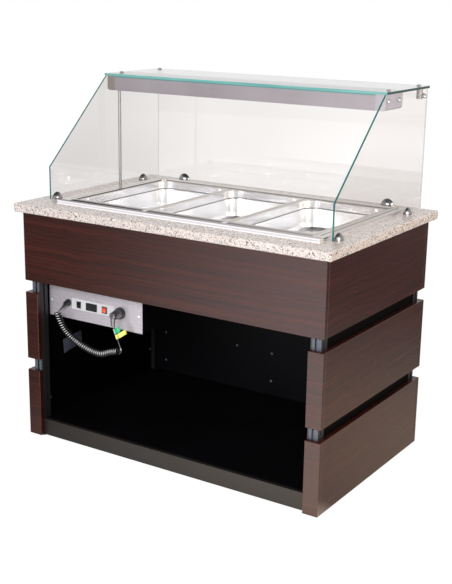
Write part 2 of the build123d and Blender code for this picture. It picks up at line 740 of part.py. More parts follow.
def tube(path, section):
    """A section carried along a path."""
    return sweep(Plane(path @ 0, z_dir=path % 0) * section, path=path, clean=False)


def biarc(p0, t0, p1, t1):
    """Two arcs that meet smoothly, from p0 heading t0 to p1 heading t1."""
    span = p1 - p0
    both = t0 + t1
    a = both.dot(both) - 4
    b = -2 * span.dot(both)
    c = span.dot(span)
    reach = (-b - math.sqrt(b * b - 4 * a * c)) / (2 * a)
    q0 = p0 + t0 * reach
    q1 = p1 - t1 * reach
    middle = (q0 + q1) * 0.5
    first = Edge.make_tangent_arc(p0, t0, middle)
    second = Edge.make_tangent_arc(middle, q1 - q0, p1)
    return [first, second]


def curl_point(route, share, sweep_angle):
    """A point of the coiled wire and its heading, at a share of the coil's route."""
    angle = math.radians(CURL_START) - sweep_angle * share
    axis = route % share
    back = Vector(0, 1, 0)
    up = axis.cross(back).normalized()
    back = up.cross(axis)
    place = (route @ share) + (back * math.cos(angle) + up * math.sin(angle)) * CURL_R
    around = (back * math.sin(angle) - up * math.cos(angle)) * (CURL_R * sweep_angle)
    return place, (around + axis * route.length).normalized()


def gap_between_turns(route, sweep_angle):
    """The least gap between neighbouring turns of the wire, measured on points along it."""
    steps = 36
    count = int(CURL_TURNS * steps)
    points = [curl_point(route, i / count, sweep_angle)[0] for i in range(count + 1)]
    near = []
    for i, point in enumerate(points):
        for other in points[i + steps // 2 : i + 2 * steps]:
            near.append((point - other).length)
    return min(near) - WIRE_D


def mains_lead():
    """Gland, straight lead, curls, plug lead, plug, socket and two blank tags."""
    dome = in_panel(GLAND_X, GLAND_DOME_R, GLAND_Z)
    route = route_through(COIL_ROUTE)
    sweep_angle = 2 * math.pi * CURL_TURNS - math.radians(CURL_END - CURL_START - 360)
    start, heading = curl_point(route, 0, sweep_angle)
    entry = start - heading * COIL_LEAVES_BY
    out = (entry - dome).normalized()
    flange = rod(in_panel(GLAND_X, 0, GLAND_Z), in_panel(GLAND_X, GLAND_T, GLAND_Z), GLAND_R)
    boot_end = dome + out * GLAND_BOOT_L
    crown = in_panel(GLAND_X, 2 * GLAND_DOME_R, GLAND_Z)
    gland = flange + rod(in_panel(GLAND_X, GLAND_T, GLAND_Z), crown, GLAND_DOME_R, GLAND_BOOT_R)
    gland += rod(dome, boot_end, GLAND_BOOT_R, WIRE_D / 2 + 1)

    lead_end = entry - out * LEAD_STRAIGHT
    nodes["gland_lead"] = rod(boot_end, lead_end, WIRE_D / 2)

    steps = round(sweep_angle / math.pi)
    marks = [curl_point(route, i / steps, sweep_angle) for i in range(steps + 1)]
    edges = [Edge.make_line(lead_end, entry)]
    edges += biarc(entry, out, *marks[0])
    for mark, following in zip(marks, marks[1:]):
        edges += biarc(*mark, *following)
    last, last_heading = marks[-1]
    leave = last + (last_heading + COIL_LEAVES).normalized() * COIL_LEAVES_BY
    coil_end = leave + COIL_LEAVES * LEAD_STRAIGHT
    edges += biarc(last, last_heading, leave, COIL_LEAVES)
    edges.append(Edge.make_line(leave, coil_end))
    print("least gap between curls", round(gap_between_turns(route, sweep_angle), 2))
    nodes["curly_cord"] = tube(Wire(edges), RegularPolygon(WIRE_D / 2, WIRE_SIDES))

    lead_path = route_through([coil_end, coil_end + COIL_LEAVES * LEAD_BEND, *LEAD_POINTS])
    nodes["plug_lead"] = tube(lead_path, RegularPolygon(WIRE_D / 2, LEAD_SIDES))
    nodes["panel_fittings"] = group([gland, panel_socket()])
    mains_plug()
    tags()


def panel_socket():
    """A round socket with a collar round the plug's nose."""
    floor = in_panel(SOCKET_X, SOCKET_FLANGE_T, SOCKET_Z)
    rim = in_panel(SOCKET_X, SOCKET_FLANGE_T + SOCKET_COLLAR_L, SOCKET_Z)
    socket = rod(in_panel(SOCKET_X, 0, SOCKET_Z), floor, SOCKET_FLANGE_R)
    return socket + (rod(floor, rim, SOCKET_COLLAR_R) - rod(floor, rim, PLUG_R + PLUG_CLEAR))


def mains_plug():
    """The angled plug, whose boot takes the lead from below."""
    floor = in_panel(SOCKET_X, SOCKET_FLANGE_T, SOCKET_Z)
    tip = LEAD_POINTS[-1]
    elbow = tip + (tip - LEAD_POINTS[-2]).normalized() * PLUG_BOOT_TIP
    root = Vector(floor.X, tip.Y, floor.Z)
    neck = in_panel(SOCKET_X, SOCKET_FLANGE_T + 2 * SOCKET_COLLAR_L, SOCKET_Z)
    end = in_panel(SOCKET_X, SOCKET_FLANGE_T + PLUG_L, SOCKET_Z)
    grip = rod(neck, end, PLUG_R, PLUG_END_R)
    grip = chamfer(grip.edges().group_by(Axis.Y)[0], PLUG_BEVEL)
    plug = rod(floor, neck, PLUG_R) + grip
    plug += rod(tip, elbow, PLUG_BOOT_END_R, PLUG_BOOT_MID_R)
    plug += Pos(*elbow) * Sphere(PLUG_BOOT_MID_R)
    plug += rod(elbow, root, PLUG_BOOT_MID_R, PLUG_BOOT_R)
    nodes["mains_plug"] = plug


def tag(along_from, length, height, rise):
    """A blank flag folded round the lead: it starts along_from the lower end of the straight run."""
    low, high = LEAD_POINTS
    up = (high - low).normalized()
    turn = math.radians(TAG_TURN)
    across = Vector(math.cos(turn), math.sin(turn), 0)
    across = (across - up * up.dot(across)).normalized()
    foot = low + up * along_from
    bore = WIRE_D / 2 + TAG_CLEAR
    sleeve_r = bore + TAG_SLEEVE_T
    top = foot + up * height
    sheet = Plane(foot, x_dir=across, z_dir=across.cross(up))
    outline = Polyline((bore, 0), (length, rise), (length, rise + height), (bore, height), close=True)
    flag = extrude(sheet * make_face(outline), TAG_T / 2, both=True)
    return flag + rod(foot, top, sleeve_r) - rod(foot - up, top + up, bore)


def tags():
    """The green and the yellow tag on the plug's lead."""
    nodes["green_tag"] = tag(39.0, 20.0, 20.0, 5.0)
    nodes["yellow_tag"] = tag(20.0, 38.0, 17.0, 9.0)


# Glass guard


def button(start, direction, grip):
    """A domed button screw: its head stands on start, its shank runs back through the glass."""
    face = Plane(start, z_dir=direction)
    foot = face * RegularPolygon(BUTTON_R, BUTTON_SIDES)
    crown = face.offset(BUTTON_H) * RegularPolygon(BUTTON_TOP_R, BUTTON_SIDES)
    shank = extrude(face.offset(-grip) * RegularPolygon(SHANK_R, BUTTON_SIDES), grip)
    return loft([foot, crown], ruled=True) + shank


def guard_screw_places():
    """Where the button screws stand: on the side panes, the back pane and the shelf."""
    canopy_z = SHELF_Z - CANOPY_SCREW_Z
    front = CANOPY_Y0 + CANOPY_SCREW_IN
    places = []
    for side in (-1, 1):
        for y, z in ((front, canopy_z), (front + CANOPY_SCREW_PITCH, canopy_z), (CORNER_Y, CORNER_Z)):
            places.append(((side * PANE_X, y, z), (side, 0, 0), PANE_T))
        places.append(((side * CORNER_X, BACK_Y, CORNER_Z), (0, 1, 0), PANE_T))
        for y in ((CANOPY_Y0 + CANOPY_Y1) / 2, CORNER_Y):
            places.append(((side * CORNER_X, y, SHELF_TOP), (0, 0, 1), SHELF_T))
    return places


def glass_guard():
    """Two side panes with sloped front edges, the back pane, the shelf pane and their screws."""
    low = SLAB_TOP + PANE_SEAT
    high = SHELF_Z - PANE_JOINT
    back = BACK_IN_Y - PANE_JOINT
    knee = (PANE_FRONT_Y, SLAB_TOP + GUARD_KNEE)
    brow = (SHELF_FRONT_Y + PANE_TOP_IN, high)
    outline = Polyline((PANE_FRONT_Y, low), knee, brow, (back, high), (back, low), close=True)
    face = make_face(outline)
    left = extrude(Plane((-PANE_X, 0, 0), x_dir=(0, 1, 0), z_dir=(1, 0, 0)) * face, PANE_T)
    right = extrude(Plane((PANE_IN_X, 0, 0), x_dir=(0, 1, 0), z_dir=(1, 0, 0)) * face, PANE_T)
    rear = block(-PANE_X, PANE_X, BACK_IN_Y, BACK_Y, low, high)
    over = PANE_X + SHELF_OVER_X
    shelf = block(-over, over, SHELF_FRONT_Y, SHELF_BACK_Y, SHELF_Z, SHELF_TOP)
    panes = {"left_pane": left, "right_pane": right, "back_pane": rear, "shelf_pane": shelf}
    screws = []
    for start, direction, grip in guard_screw_places():
        screws.append(button(start, direction, grip))
        way = Vector(*direction)
        drill = rod(Vector(*start) + way, Vector(*start) - way * (grip + 1), SHANK_R + HOLE_CLEAR)
        if direction[2]:
            name = "shelf_pane"
        elif direction[1]:
            name = "back_pane"
        else:
            name = "left_pane" if direction[0] < 0 else "right_pane"
        panes[name] -= drill
    nodes.update(panes)
    nodes["guard_screws"] = group(screws)


def clamp():
    """A domed half-round clamp on its own origin, slotted along X for a pane."""
    rim = CLAMP_RIM / 2
    centre = (CLAMP_BULGE**2 - CLAMP_R**2 - rim**2) / (2 * (CLAMP_BULGE - rim))
    dome_r = CLAMP_BULGE - centre
    on_dome = centre + math.sqrt(dome_r**2 - (CLAMP_R / 2) ** 2)
    outline = [
        Line((0, -CLAMP_BULGE), (0, CLAMP_BULGE)),
        ThreePointArc((0, CLAMP_BULGE), (CLAMP_R / 2, on_dome), (CLAMP_R, rim)),
        Line((CLAMP_R, rim), (CLAMP_R, -rim)),
        ThreePointArc((CLAMP_R, -rim), (CLAMP_R / 2, -on_dome), (0, -CLAMP_BULGE)),
    ]
    ball = revolve(make_face(outline), Axis.Y)
    half = ball & block(-CLAMP_R, CLAMP_R, -CLAMP_BULGE, CLAMP_BULGE, 0, CLAMP_R)
    slot = PANE_T / 2
    return half - block(-CLAMP_R, CLAMP_R, -slot, slot, PANE_SEAT, 2 * CLAMP_R)


def guard_fittings():
    """Clamps on the slab, and the connectors that tie the shelf to the panes."""
    one = clamp()
    turned = Rot(0, 0, 90) * one
    side_x = PANE_X - PANE_T / 2
    clamps = []
    connectors = []
    for side in (-1, 1):
        for y in (PANE_FRONT_Y + CLAMP_SIDE_FRONT, BACK_IN_Y - CLAMP_SIDE_BACK):
            clamps.append(Pos(side * side_x, y, SLAB_TOP) * turned)
        clamps.append(Pos(side * CLAMP_BACK_X, BACK_Y - PANE_T / 2, SLAB_TOP) * one)
        hub = Vector(side * CORNER_X, CORNER_Y, CORNER_Z)
        foot = Vector(hub.X, hub.Y, hub.Z - CONNECTOR_R)
        connector = rod(foot, (hub.X, hub.Y, SHELF_Z), CONNECTOR_R)
        connector += rod(hub, (side * PANE_IN_X, hub.Y, hub.Z), CONNECTOR_ARM_R)
        connector += rod(hub, (hub.X, BACK_IN_Y, hub.Z), CONNECTOR_ARM_R)
        connectors.append(connector)
    nodes["glass_clamps"] = group(clamps)
    nodes["corner_connectors"] = group(connectors)


# Light canopy


def canopy_profile(margin):
    """The canopy's outline across the counter, in by margin on each side but the top."""
    face = Rectangle(CANOPY_D - 2 * margin, CANOPY_H - 2 * margin)
    return Pos((CANOPY_Y0 + CANOPY_Y1) / 2, SHELF_Z - CANOPY_H / 2) * face


def canopy():
    """The folded light canopy, its end caps, the lamp tube and holders, and the conduit."""
    across = Plane((-CANOPY_HALF, 0, 0), x_dir=(0, 1, 0), z_dir=(1, 0, 0))
    length = 2 * CANOPY_HALF
    mouth = CANOPY_D - 2 * CANOPY_LIP
    opening = Pos((CANOPY_Y0 + CANOPY_Y1) / 2, CANOPY_Z) * Rectangle(mouth, 4 * CANOPY_T)
    folded = canopy_profile(0) - canopy_profile(CANOPY_T) - opening
    nodes["light_canopy"] = extrude(across * folded, length)

    caps = []
    for side in (-1, 1):
        x0, x1 = sorted((side * CANOPY_HALF, side * PANE_IN_X))
        cap = block(x0, x1, CANOPY_Y0, CANOPY_Y1, CANOPY_Z, SHELF_Z)
        outer = cap.edges().filter_by(Axis.Y).group_by(Axis.Z)[0].sort_by(Axis.X)
        cap = fillet(outer[-1] if side > 0 else outer[0], CANOPY_END_R)
        x0, x1 = sorted((side * (CANOPY_HALF - 1), side * (PANE_IN_X - CANOPY_END_R)))
        hollow = (CANOPY_Y0 + CANOPY_T, CANOPY_Y1 - CANOPY_T, CANOPY_Z + CANOPY_T, SHELF_Z - CANOPY_T)
        caps.append(cap - block(x0, x1, *hollow))
    nodes["canopy_end_caps"] = group(caps)

    y = (CANOPY_Y0 + CANOPY_Y1) / 2
    z = SHELF_Z - LAMP_DROP
    half = LAMP_L / 2
    nodes["lamp_tube"] = rod((-half, y, z), (half, y, z), LAMP_R)
    holders = []
    for side in (-1, 1):
        x0, x1 = sorted((side * half, side * (half + HOLDER_T)))
        y0 = y - HOLDER_W / 2
        holders.append(block(x0, x1, y0, y0 + HOLDER_W, z - HOLDER_W / 2, SHELF_Z - CANOPY_T))
    nodes["lamp_holders"] = group(holders)

    foot = (CONDUIT_X, CONDUIT_Y, SLAB_TOP)
    sunk = (CONDUIT_X, CONDUIT_Y, SLAB_TOP - CONDUIT_SINK)
    conduit = rod(sunk, (CONDUIT_X, CONDUIT_Y, CANOPY_Z), CONDUIT_R)
    conduit += rod(foot, (CONDUIT_X, CONDUIT_Y, SLAB_TOP + CONDUIT_COLLAR_T), CONDUIT_COLLAR_R)
    nodes["conduit_rod"] = conduit


cladding()
carcass()
granite_top()
well_frame()
well()
pans()
drain()
control_panel()
controls()
mains_lead()
glass_guard()
guard_fittings()
canopy()

os.makedirs("parts", exist_ok=True)
for name, shape in nodes.items():
    export_step(shape, f"parts/{name}.step")
print(len(nodes), "parts")
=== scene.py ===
"""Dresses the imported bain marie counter, and sets its camera, studio light and floor."""

import json
import logging
import math
from abc import ABC, abstractmethod
from dataclasses import dataclass, field
from enum import Enum
from functools import cache
from typing import Any, Sequence

import bmesh
import bpy
from mathutils import Matrix, Vector
from mathutils.kdtree import KDTree

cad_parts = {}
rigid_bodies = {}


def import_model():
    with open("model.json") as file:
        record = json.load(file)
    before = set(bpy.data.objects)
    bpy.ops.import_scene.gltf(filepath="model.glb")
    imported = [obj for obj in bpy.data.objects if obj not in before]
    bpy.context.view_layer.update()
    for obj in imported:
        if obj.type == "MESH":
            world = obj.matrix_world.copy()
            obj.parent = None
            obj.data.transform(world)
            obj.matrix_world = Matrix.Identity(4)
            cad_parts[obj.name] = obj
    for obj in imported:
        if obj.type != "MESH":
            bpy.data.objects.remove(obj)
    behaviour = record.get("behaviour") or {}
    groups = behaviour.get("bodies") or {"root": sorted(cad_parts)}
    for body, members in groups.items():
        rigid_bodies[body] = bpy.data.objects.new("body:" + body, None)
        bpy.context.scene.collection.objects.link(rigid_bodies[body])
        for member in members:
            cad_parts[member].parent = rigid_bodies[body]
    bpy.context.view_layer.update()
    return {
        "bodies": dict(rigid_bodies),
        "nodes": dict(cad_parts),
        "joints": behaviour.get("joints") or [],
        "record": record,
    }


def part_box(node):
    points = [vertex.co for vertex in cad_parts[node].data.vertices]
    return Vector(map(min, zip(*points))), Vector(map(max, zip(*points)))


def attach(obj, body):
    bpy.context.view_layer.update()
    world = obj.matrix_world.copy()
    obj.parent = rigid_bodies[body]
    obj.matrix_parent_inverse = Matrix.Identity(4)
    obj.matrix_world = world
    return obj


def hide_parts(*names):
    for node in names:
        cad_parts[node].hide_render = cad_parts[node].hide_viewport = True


LOG = logging.getLogger("bain_marie")
Colour = tuple[float, float, float, float]
Point = tuple[float, float, float]
Ends = tuple[float, float]
Inputs = dict[str | int, Any]
Socket = bpy.types.NodeSocket
Node = bpy.types.Node
Tree = bpy.types.NodeTree
Thing = bpy.types.Object
Material = bpy.types.Material
Shape = bmesh.types.BMesh

IMAGE_HEIGHT = 584
SENSOR = 36.0
BODY = "counter"
LEAD_FOOT = (-0.212, -0.3464, 0.424)
TAG_ACROSS = (0.8315, 0.4648, 0.3043)
BAND_SOFT = 0.0006
FLOAT = "NodeSocketFloat"
COLOUR = "NodeSocketColor"
VECTOR = "NodeSocketVector"
WHOLE = (0.0, 1.0)
WHITE = (1.0, 1.0, 1.0, 1.0)
DARK = (0.0, 0.0, 0.0, 1.0)
SPECULAR = "Specular IOR Level"
SCREW_SIDES = 16
SCREW_STEPS = ((1.0, 0.18), (0.86, 0.22), (0.62, 0.12))
SOCKET_IN = 0.24
SOCKET_DEPTH = 0.3
SAME_WAY = 0.999
WELD = 1e-7


def tint(red: int, green: int, blue: int) -> Colour:
    """A colour as seen on a screen, 0 to 255 each, in the linear values that shaders take."""
    parts = []
    for part in (red, green, blue):
        share = part / 255
        parts.append(share / 12.92 if share <= 0.04045 else ((share + 0.055) / 1.055) ** 2.4)
    return (parts[0], parts[1], parts[2], 1.0)


def even(value: float) -> Point:
    """The same value along each axis."""
    return (value, value, value)


def add_thing(name: str, data: Any) -> Thing:
    """Adds an object to the scene."""
    thing = bpy.data.objects.new(name, data)
    bpy.context.scene.collection.objects.link(thing)
    return thing


class Slot(str, Enum):
    """The record's material slots."""

    LAMINATE = "laminate_boards"
    GRANITE = "granite"
    STEEL = "stainless_steel"
    PLATE = "panel_steel"
    CANOPY = "canopy_steel"
    CHROME = "chrome"
    GLASS = "guard_glass"
    BLACK = "black_panels"
    FASCIA = "fascia"
    POSTS = "posts"
    RUBBER = "rubber"
    BLACK_PLASTIC = "black_plastic"
    CORD = "cord_black"
    WHITE_PLASTIC = "white_plastic"
    RED_PLASTIC = "red_plastic"
    GREEN_FILM = "green_film"
    YELLOW_FILM = "yellow_film"
    BRASS = "brass"
    LAMP = "lamp"


class Axis(Enum):
    """An axis of the shared frame."""

    X = 0
    Y = 1
    Z = 2


X, Y, Z = Axis
# An axis, a place along it and the reach to either side.
Strip = tuple[Axis, float, float]


class Recipe:
    """Adds and joins shader nodes in one node tree."""

    def __init__(self, tree: Tree) -> None:
        """Keeps the tree that the nodes go into."""
        self.tree = tree

    def add(self, kind: str, inputs: Inputs | None = None, **settings: Any) -> Node:
        """Adds one node, with its settings and the values or links of its inputs.

        Args:
            kind: The node's type, without the leading ShaderNode.
            inputs: Values, or sockets to link, by the input's name or number.
            settings: The node's own properties.

        Returns:
            The new node.
        """
        node = self.tree.nodes.new("ShaderNode" + kind)
        for name, value in settings.items():
            setattr(node, name, value)
        self.fill(node, inputs or {})
        return node

    def feed(self, node: Node, name: str | int, value: Any) -> None:
        """Sets an input to a value, or links it to a socket."""
        if isinstance(value, Socket):
            self.tree.links.new(value, node.inputs[name])
        else:
            node.inputs[name].default_value = value

    def fill(self, node: Node, inputs: Inputs) -> None:
        """Sets or links several inputs of a node."""
        for name, value in inputs.items():
            self.feed(node, name, value)

    def math(self, kind: str, *values: Any) -> Socket:
        """The result of an operation on one or two numbers."""
        return self.add("Math", dict(enumerate(values)), operation=kind).outputs["Value"]

    def vector(self, kind: str, first: Any, second: Any) -> Socket:
        """The result of an operation on two vectors: a number for a dot product or a distance."""
        node = self.add("VectorMath", {0: first, 1: second}, operation=kind)
        return node.outputs["Value" if kind in ("DOT_PRODUCT", "DISTANCE") else "Vector"]

    def part(self, vector: Socket, axis: Axis) -> Socket:
        """One part of a vector."""
        return self.add("SeparateXYZ", {"Vector": vector}).outputs[axis.value]

    def coords(self) -> Socket:
        """Object coordinates in metres."""
        return self.add("TexCoord").outputs["Object"]

    def places(self, stretch: Point) -> Socket:
        """Object coordinates, multiplied by stretch along each axis."""
        return self.add("Mapping", {"Vector": self.coords(), "Scale": stretch}).outputs["Vector"]

    def clouds(self, where: Socket, scale: Any, detail: float, rough: float = 0.5) -> Socket:
        """Smooth noise at given places, as a value about one half."""
        inputs = {"Vector": where, "Scale": scale, "Detail": detail, "Roughness": rough}
        return self.add("TexNoise", inputs).outputs["Fac"]

    def noise(self, stretch: Point, detail: float, rough: float = 0.55) -> Socket:
        """Smooth noise whose grain is set by stretch, as a value about one half."""
        return self.clouds(self.places(stretch), 1.0, detail, rough)

    def ramp(self, value: Socket, stops: Sequence[tuple[float, Colour]]) -> Socket:
        """Turns a value into a colour by the stops of a ramp."""
        node = self.add("ValToRGB", {"Fac": value})
        marks = node.color_ramp.elements
        while len(marks) < len(stops):
            marks.new(1.0)
        for mark, (place, colour) in zip(marks, stops):
            mark.position = place
            mark.color = colour
        return node.outputs["Color"]

    def span(self, value: Socket, low: Any, high: Any, source: Ends = (0.25, 0.75)) -> Socket:
        """Maps a value from the source range to low and high."""
        ends = {"Value": value, "From Min": source[0], "From Max": source[1], "To Min": low, "To Max": high}
        return self.add("MapRange", ends).outputs["Result"]

    def blend(self, share: Any, first: Any, second: Any) -> Socket:
        """Mixes two colours by a share."""
        return self.add("Mix", {0: share, 6: first, 7: second}, data_type="RGBA").outputs[2]

    def choose(self, mask: Any, first: Any, second: Any) -> Socket:
        """A number that goes from first to second as the mask goes from 0 to 1."""
        return self.add("Mix", {0: mask, 2: first, 3: second}, data_type="FLOAT").outputs[0]

    def by_ray(self, plain: Any, mirrored: Any, through: Any, seen: Any) -> Socket:
        """One number for light that spreads, and others for what mirrors, glass and the camera see."""
        rays = self.add("LightPath").outputs
        level = self.choose(rays["Is Glossy Ray"], plain, mirrored)
        level = self.choose(rays["Is Transmission Ray"], level, through)
        return self.choose(rays["Is Camera Ray"], level, seen)

    def cover(self, shader: Node, mask: Socket, colour: Colour) -> None:
        """Lays a colour over a shader's own where the mask is 1."""
        under = shader.inputs["Base Color"].links[0].from_socket
        self.feed(shader, "Base Color", self.blend(mask, under, colour))

    def relief(self, height: Socket, strength: float, depth: float) -> Socket:
        """A normal from a height, with its depth in metres."""
        return self.add("Bump", {"Height": height, "Strength": strength, "Distance": depth}).outputs["Normal"]

    def band(self, axis: Axis, centre: float, half: float) -> Socket:
        """A mask that is 1 within half of a place along an axis, with soft ends."""
        apart = self.math("SUBTRACT", self.part(self.coords(), axis), centre)
        return self.span(self.math("ABSOLUTE", apart), 1.0, 0.0, (half - BAND_SOFT, half + BAND_SOFT))

    def group(self, tree: Tree, inputs: Inputs) -> Node:
        """Places a shared effect in this tree."""
        return self.add("Group", inputs, node_tree=tree)


class Effects:
    """The effects that several finishes share, each built once as a node group."""

    @staticmethod
    def start(name: str, inputs: dict[str, str], outputs: dict[str, str]) -> tuple[Recipe, Node, Node]:
        """Starts a group with its named sockets.

        Args:
            name: The group's name.
            inputs: Socket types by name.
            outputs: Socket types by name.

        Returns:
            The recipe of the group's tree, its input node and its output node.
        """
        tree = bpy.data.node_groups.new(name, "ShaderNodeTree")
        for label, kind in inputs.items():
            tree.interface.new_socket(label, in_out="INPUT", socket_type=kind)
        for label, kind in outputs.items():
            tree.interface.new_socket(label, in_out="OUTPUT", socket_type=kind)
        return Recipe(tree), tree.nodes.new("NodeGroupInput"), tree.nodes.new("NodeGroupOutput")

    @classmethod
    @cache
    def brushing(cls) -> Tree:
        """Fine lines of brushed metal: a roughness between two values, a tone and a height."""
        sockets = {"Stretch": VECTOR, "Low": FLOAT, "High": FLOAT}
        outs = {"Roughness": FLOAT, "Tone": FLOAT, "Height": FLOAT}
        recipe, given, out = cls.start("brushing", sockets, outs)
        where = recipe.coords()
        lines = recipe.vector("MULTIPLY", where, given.outputs["Stretch"])
        fine = recipe.clouds(lines, 1.0, detail=5.0, rough=0.65)
        patch = recipe.clouds(where, 7.0, detail=3.0, rough=0.6)
        both = recipe.math("ADD", fine, patch)
        spread = (0.65, 1.35)
        rough = recipe.span(both, given.outputs["Low"], given.outputs["High"], spread)
        recipe.fill(out, {"Roughness": rough, "Tone": recipe.span(both, 0.0, 1.0, spread), "Height": fine})
        return recipe.tree

    @classmethod
    @cache
    def mottle(cls) -> Tree:
        """Moulded or painted skin: two close tones, an uneven gloss and a fine pebble height."""
        sockets = dict.fromkeys(("Base", "Tone"), COLOUR)
        sockets |= dict.fromkeys(("Patch", "Pebble", "Low", "High"), FLOAT)
        outs = {"Color": COLOUR, "Roughness": FLOAT, "Height": FLOAT}
        recipe, given, out = cls.start("mottle", sockets, outs)
        where = recipe.coords()
        patch = recipe.clouds(where, given.outputs["Patch"], detail=4.0)
        pebble = recipe.clouds(where, given.outputs["Pebble"], detail=2.0)
        colour = recipe.blend(recipe.span(patch, 0.0, 1.0), given.outputs["Base"], given.outputs["Tone"])
        rough = recipe.span(patch, given.outputs["Low"], given.outputs["High"])
        recipe.fill(out, {"Color": colour, "Roughness": rough, "Height": pebble})
        return recipe.tree


@dataclass(frozen=True)
class Finish(ABC):
    """A finish that makes one material."""

    name: str

    def material(self) -> Material:
        """Makes the material and dresses its shader."""
        material = bpy.data.materials.new(self.name)
        material.use_nodes = True
        recipe = Recipe(material.node_tree)
        self.dress(recipe, material.node_tree.nodes["Principled BSDF"])
        return material

    @abstractmethod
    def dress(self, recipe: Recipe, shader: Node) -> None:
        """Feeds the shader."""


@dataclass(frozen=True)
class Laminate(Finish):
    """Dark wenge laminate whose grain runs level along every board."""

    deep: Colour = tint(34, 12, 8)
    warm: Colour = tint(52, 18, 11)
    pale: Colour = tint(73, 30, 21)
    stops: Point = (0.3, 0.5, 0.74)
    streak: Point = (1.5, 1.5, 130.0)
    pore: Point = (20.0, 20.0, 430.0)
    pore_reach: Ends = (0.52, 0.7)
    pore_share: float = 0.3
    wander: float = 4.0
    lift: float = 0.009
    rough: Ends = (0.24, 0.36)
    relief: float = 0.16
    depth: float = 0.0003
    specular: float = 0.31

    def dress(self, recipe: Recipe, shader: Node) -> None:
        """Wandering level streaks, fine pores and an embossed satin coat."""
        where = recipe.coords()
        lift = recipe.span(recipe.clouds(where, self.wander, detail=3.0), -self.lift, self.lift)
        lifted = recipe.vector("ADD", where, recipe.add("CombineXYZ", {"Z": lift}).outputs["Vector"])
        long = recipe.add("Mapping", {"Vector": lifted, "Scale": self.streak}).outputs["Vector"]
        streaks = recipe.clouds(long, 1.0, detail=6.0, rough=0.6)
        colour = recipe.ramp(streaks, list(zip(self.stops, (self.deep, self.warm, self.pale))))
        pores = recipe.noise(self.pore, detail=3.0, rough=0.6)
        colour = recipe.blend(recipe.span(pores, 0.0, self.pore_share, self.pore_reach), colour, self.deep)
        recipe.fill(shader, {
            "Base Color": colour, "Roughness": recipe.span(pores, *self.rough),
            "Normal": recipe.relief(pores, self.relief, self.depth), SPECULAR: self.specular,
        })


@dataclass(frozen=True)
class Granite(Finish):
    """Pale polished granite with pink, grey and dark grains."""

    grain: float = 340.0
    coarser: float = 0.62
    wobble: Point = even(0.006)
    wobble_scale: float = 90.0
    fleck: Colour = tint(56, 50, 51)
    fleck_reach: Ends = (0.89, 0.93)
    fleck_share: float = 0.92
    cloud: Colour = tint(206, 190, 184)
    cloud_scale: float = 22.0
    cloud_share: float = 0.3
    rough: Ends = (0.2, 0.32)

    STOPS = (
        (0.0, tint(166, 152, 146)), (0.15, tint(194, 180, 174)), (0.35, tint(216, 204, 198)),
        (0.6, tint(231, 220, 215)), (1.0, tint(244, 236, 232)),
    )

    def cells(self, recipe: Recipe, where: Socket, scale: float) -> Any:
        """Three random values for each grain of a size."""
        colour = recipe.add("TexVoronoi", {"Vector": where, "Scale": scale}).outputs["Color"]
        return recipe.add("SeparateColor", {"Color": colour}).outputs

    def dress(self, recipe: Recipe, shader: Node) -> None:
        """Grains of several tones from two sizes of cells, with sparse dark flecks."""
        where = recipe.coords()
        waves = recipe.add("TexNoise", {"Vector": where, "Scale": self.wobble_scale, "Detail": 3.0})
        shift = recipe.vector("MULTIPLY", waves.outputs["Color"], self.wobble)
        where = recipe.vector("ADD", where, shift)
        pick = self.cells(recipe, where, self.grain)["Red"]
        sparse = self.cells(recipe, where, self.grain * self.coarser)["Green"]
        colour = recipe.ramp(pick, self.STOPS)
        flecks = recipe.span(sparse, 0.0, self.fleck_share, self.fleck_reach)
        colour = recipe.blend(flecks, colour, self.fleck)
        clouds = recipe.span(recipe.noise(even(self.cloud_scale), detail=3.0), 0.0, self.cloud_share)
        colour = recipe.blend(clouds, colour, self.cloud)
        recipe.fill(shader, {"Base Color": colour, "Roughness": recipe.span(pick, *self.rough, WHOLE)})


@dataclass(frozen=True)
class Band:
    """A strip of another tone, mostly painted shade or highlight, across one axis, which may change to the
    right and end along another axis.
    """

    axis: Axis
    centre: float
    half: float
    tone: Colour
    dull: bool = True
    # The tone further right, where the painted shade grows lighter or a painted sheen brightens.
    right: Colour | None = None
    within: Strip | None = None


@dataclass(frozen=True)
class BrushedMetal(Finish):
    """Metal with fine lines along its brushing."""

    dark: Colour = tint(176, 176, 178)
    light: Colour = tint(206, 206, 208)
    stretch: Point = (6.0, 420.0, 420.0)
    rough: Ends = (0.2, 0.34)
    depth: float = 0.00006
    metallic: float = 1.0
    bands: tuple[Band, ...] = ()

    ROW = (-0.4, 0.5)
    RELIEF = 0.12

    def dress(self, recipe: Recipe, shader: Node) -> None:
        """Lines in tone, gloss and height, and the bands of another tone, which paint shade and highlights.
        """
        low, high = self.rough
        lines = recipe.group(Effects.brushing(), {"Stretch": self.stretch, "Low": low, "High": high}).outputs
        colour = recipe.blend(lines["Tone"], self.dark, self.light)
        shade: Any = 0.0
        for band in self.bands:
            mask = recipe.band(band.axis, band.centre, band.half)
            if band.within:
                mask = recipe.math("MULTIPLY", mask, recipe.band(*band.within))
            tone: Any = band.tone
            if band.right:
                aside = recipe.span(recipe.part(recipe.coords(), X), 0.0, 1.0, self.ROW)
                tone = recipe.blend(aside, band.tone, band.right)
            colour = recipe.blend(mask, colour, tone)
            if band.dull:
                shade = recipe.math("MAXIMUM", shade, mask)
        recipe.fill(shader, {
            "Base Color": colour, "Roughness": lines["Roughness"], "Metallic": self.metallic,
            "Normal": recipe.relief(lines["Height"], self.RELIEF, self.depth),
        })
        if any(band.dull for band in self.bands):
            recipe.fill(shader, {"Metallic": recipe.span(shade, self.metallic, 0.0, WHOLE), SPECULAR: 0.0})


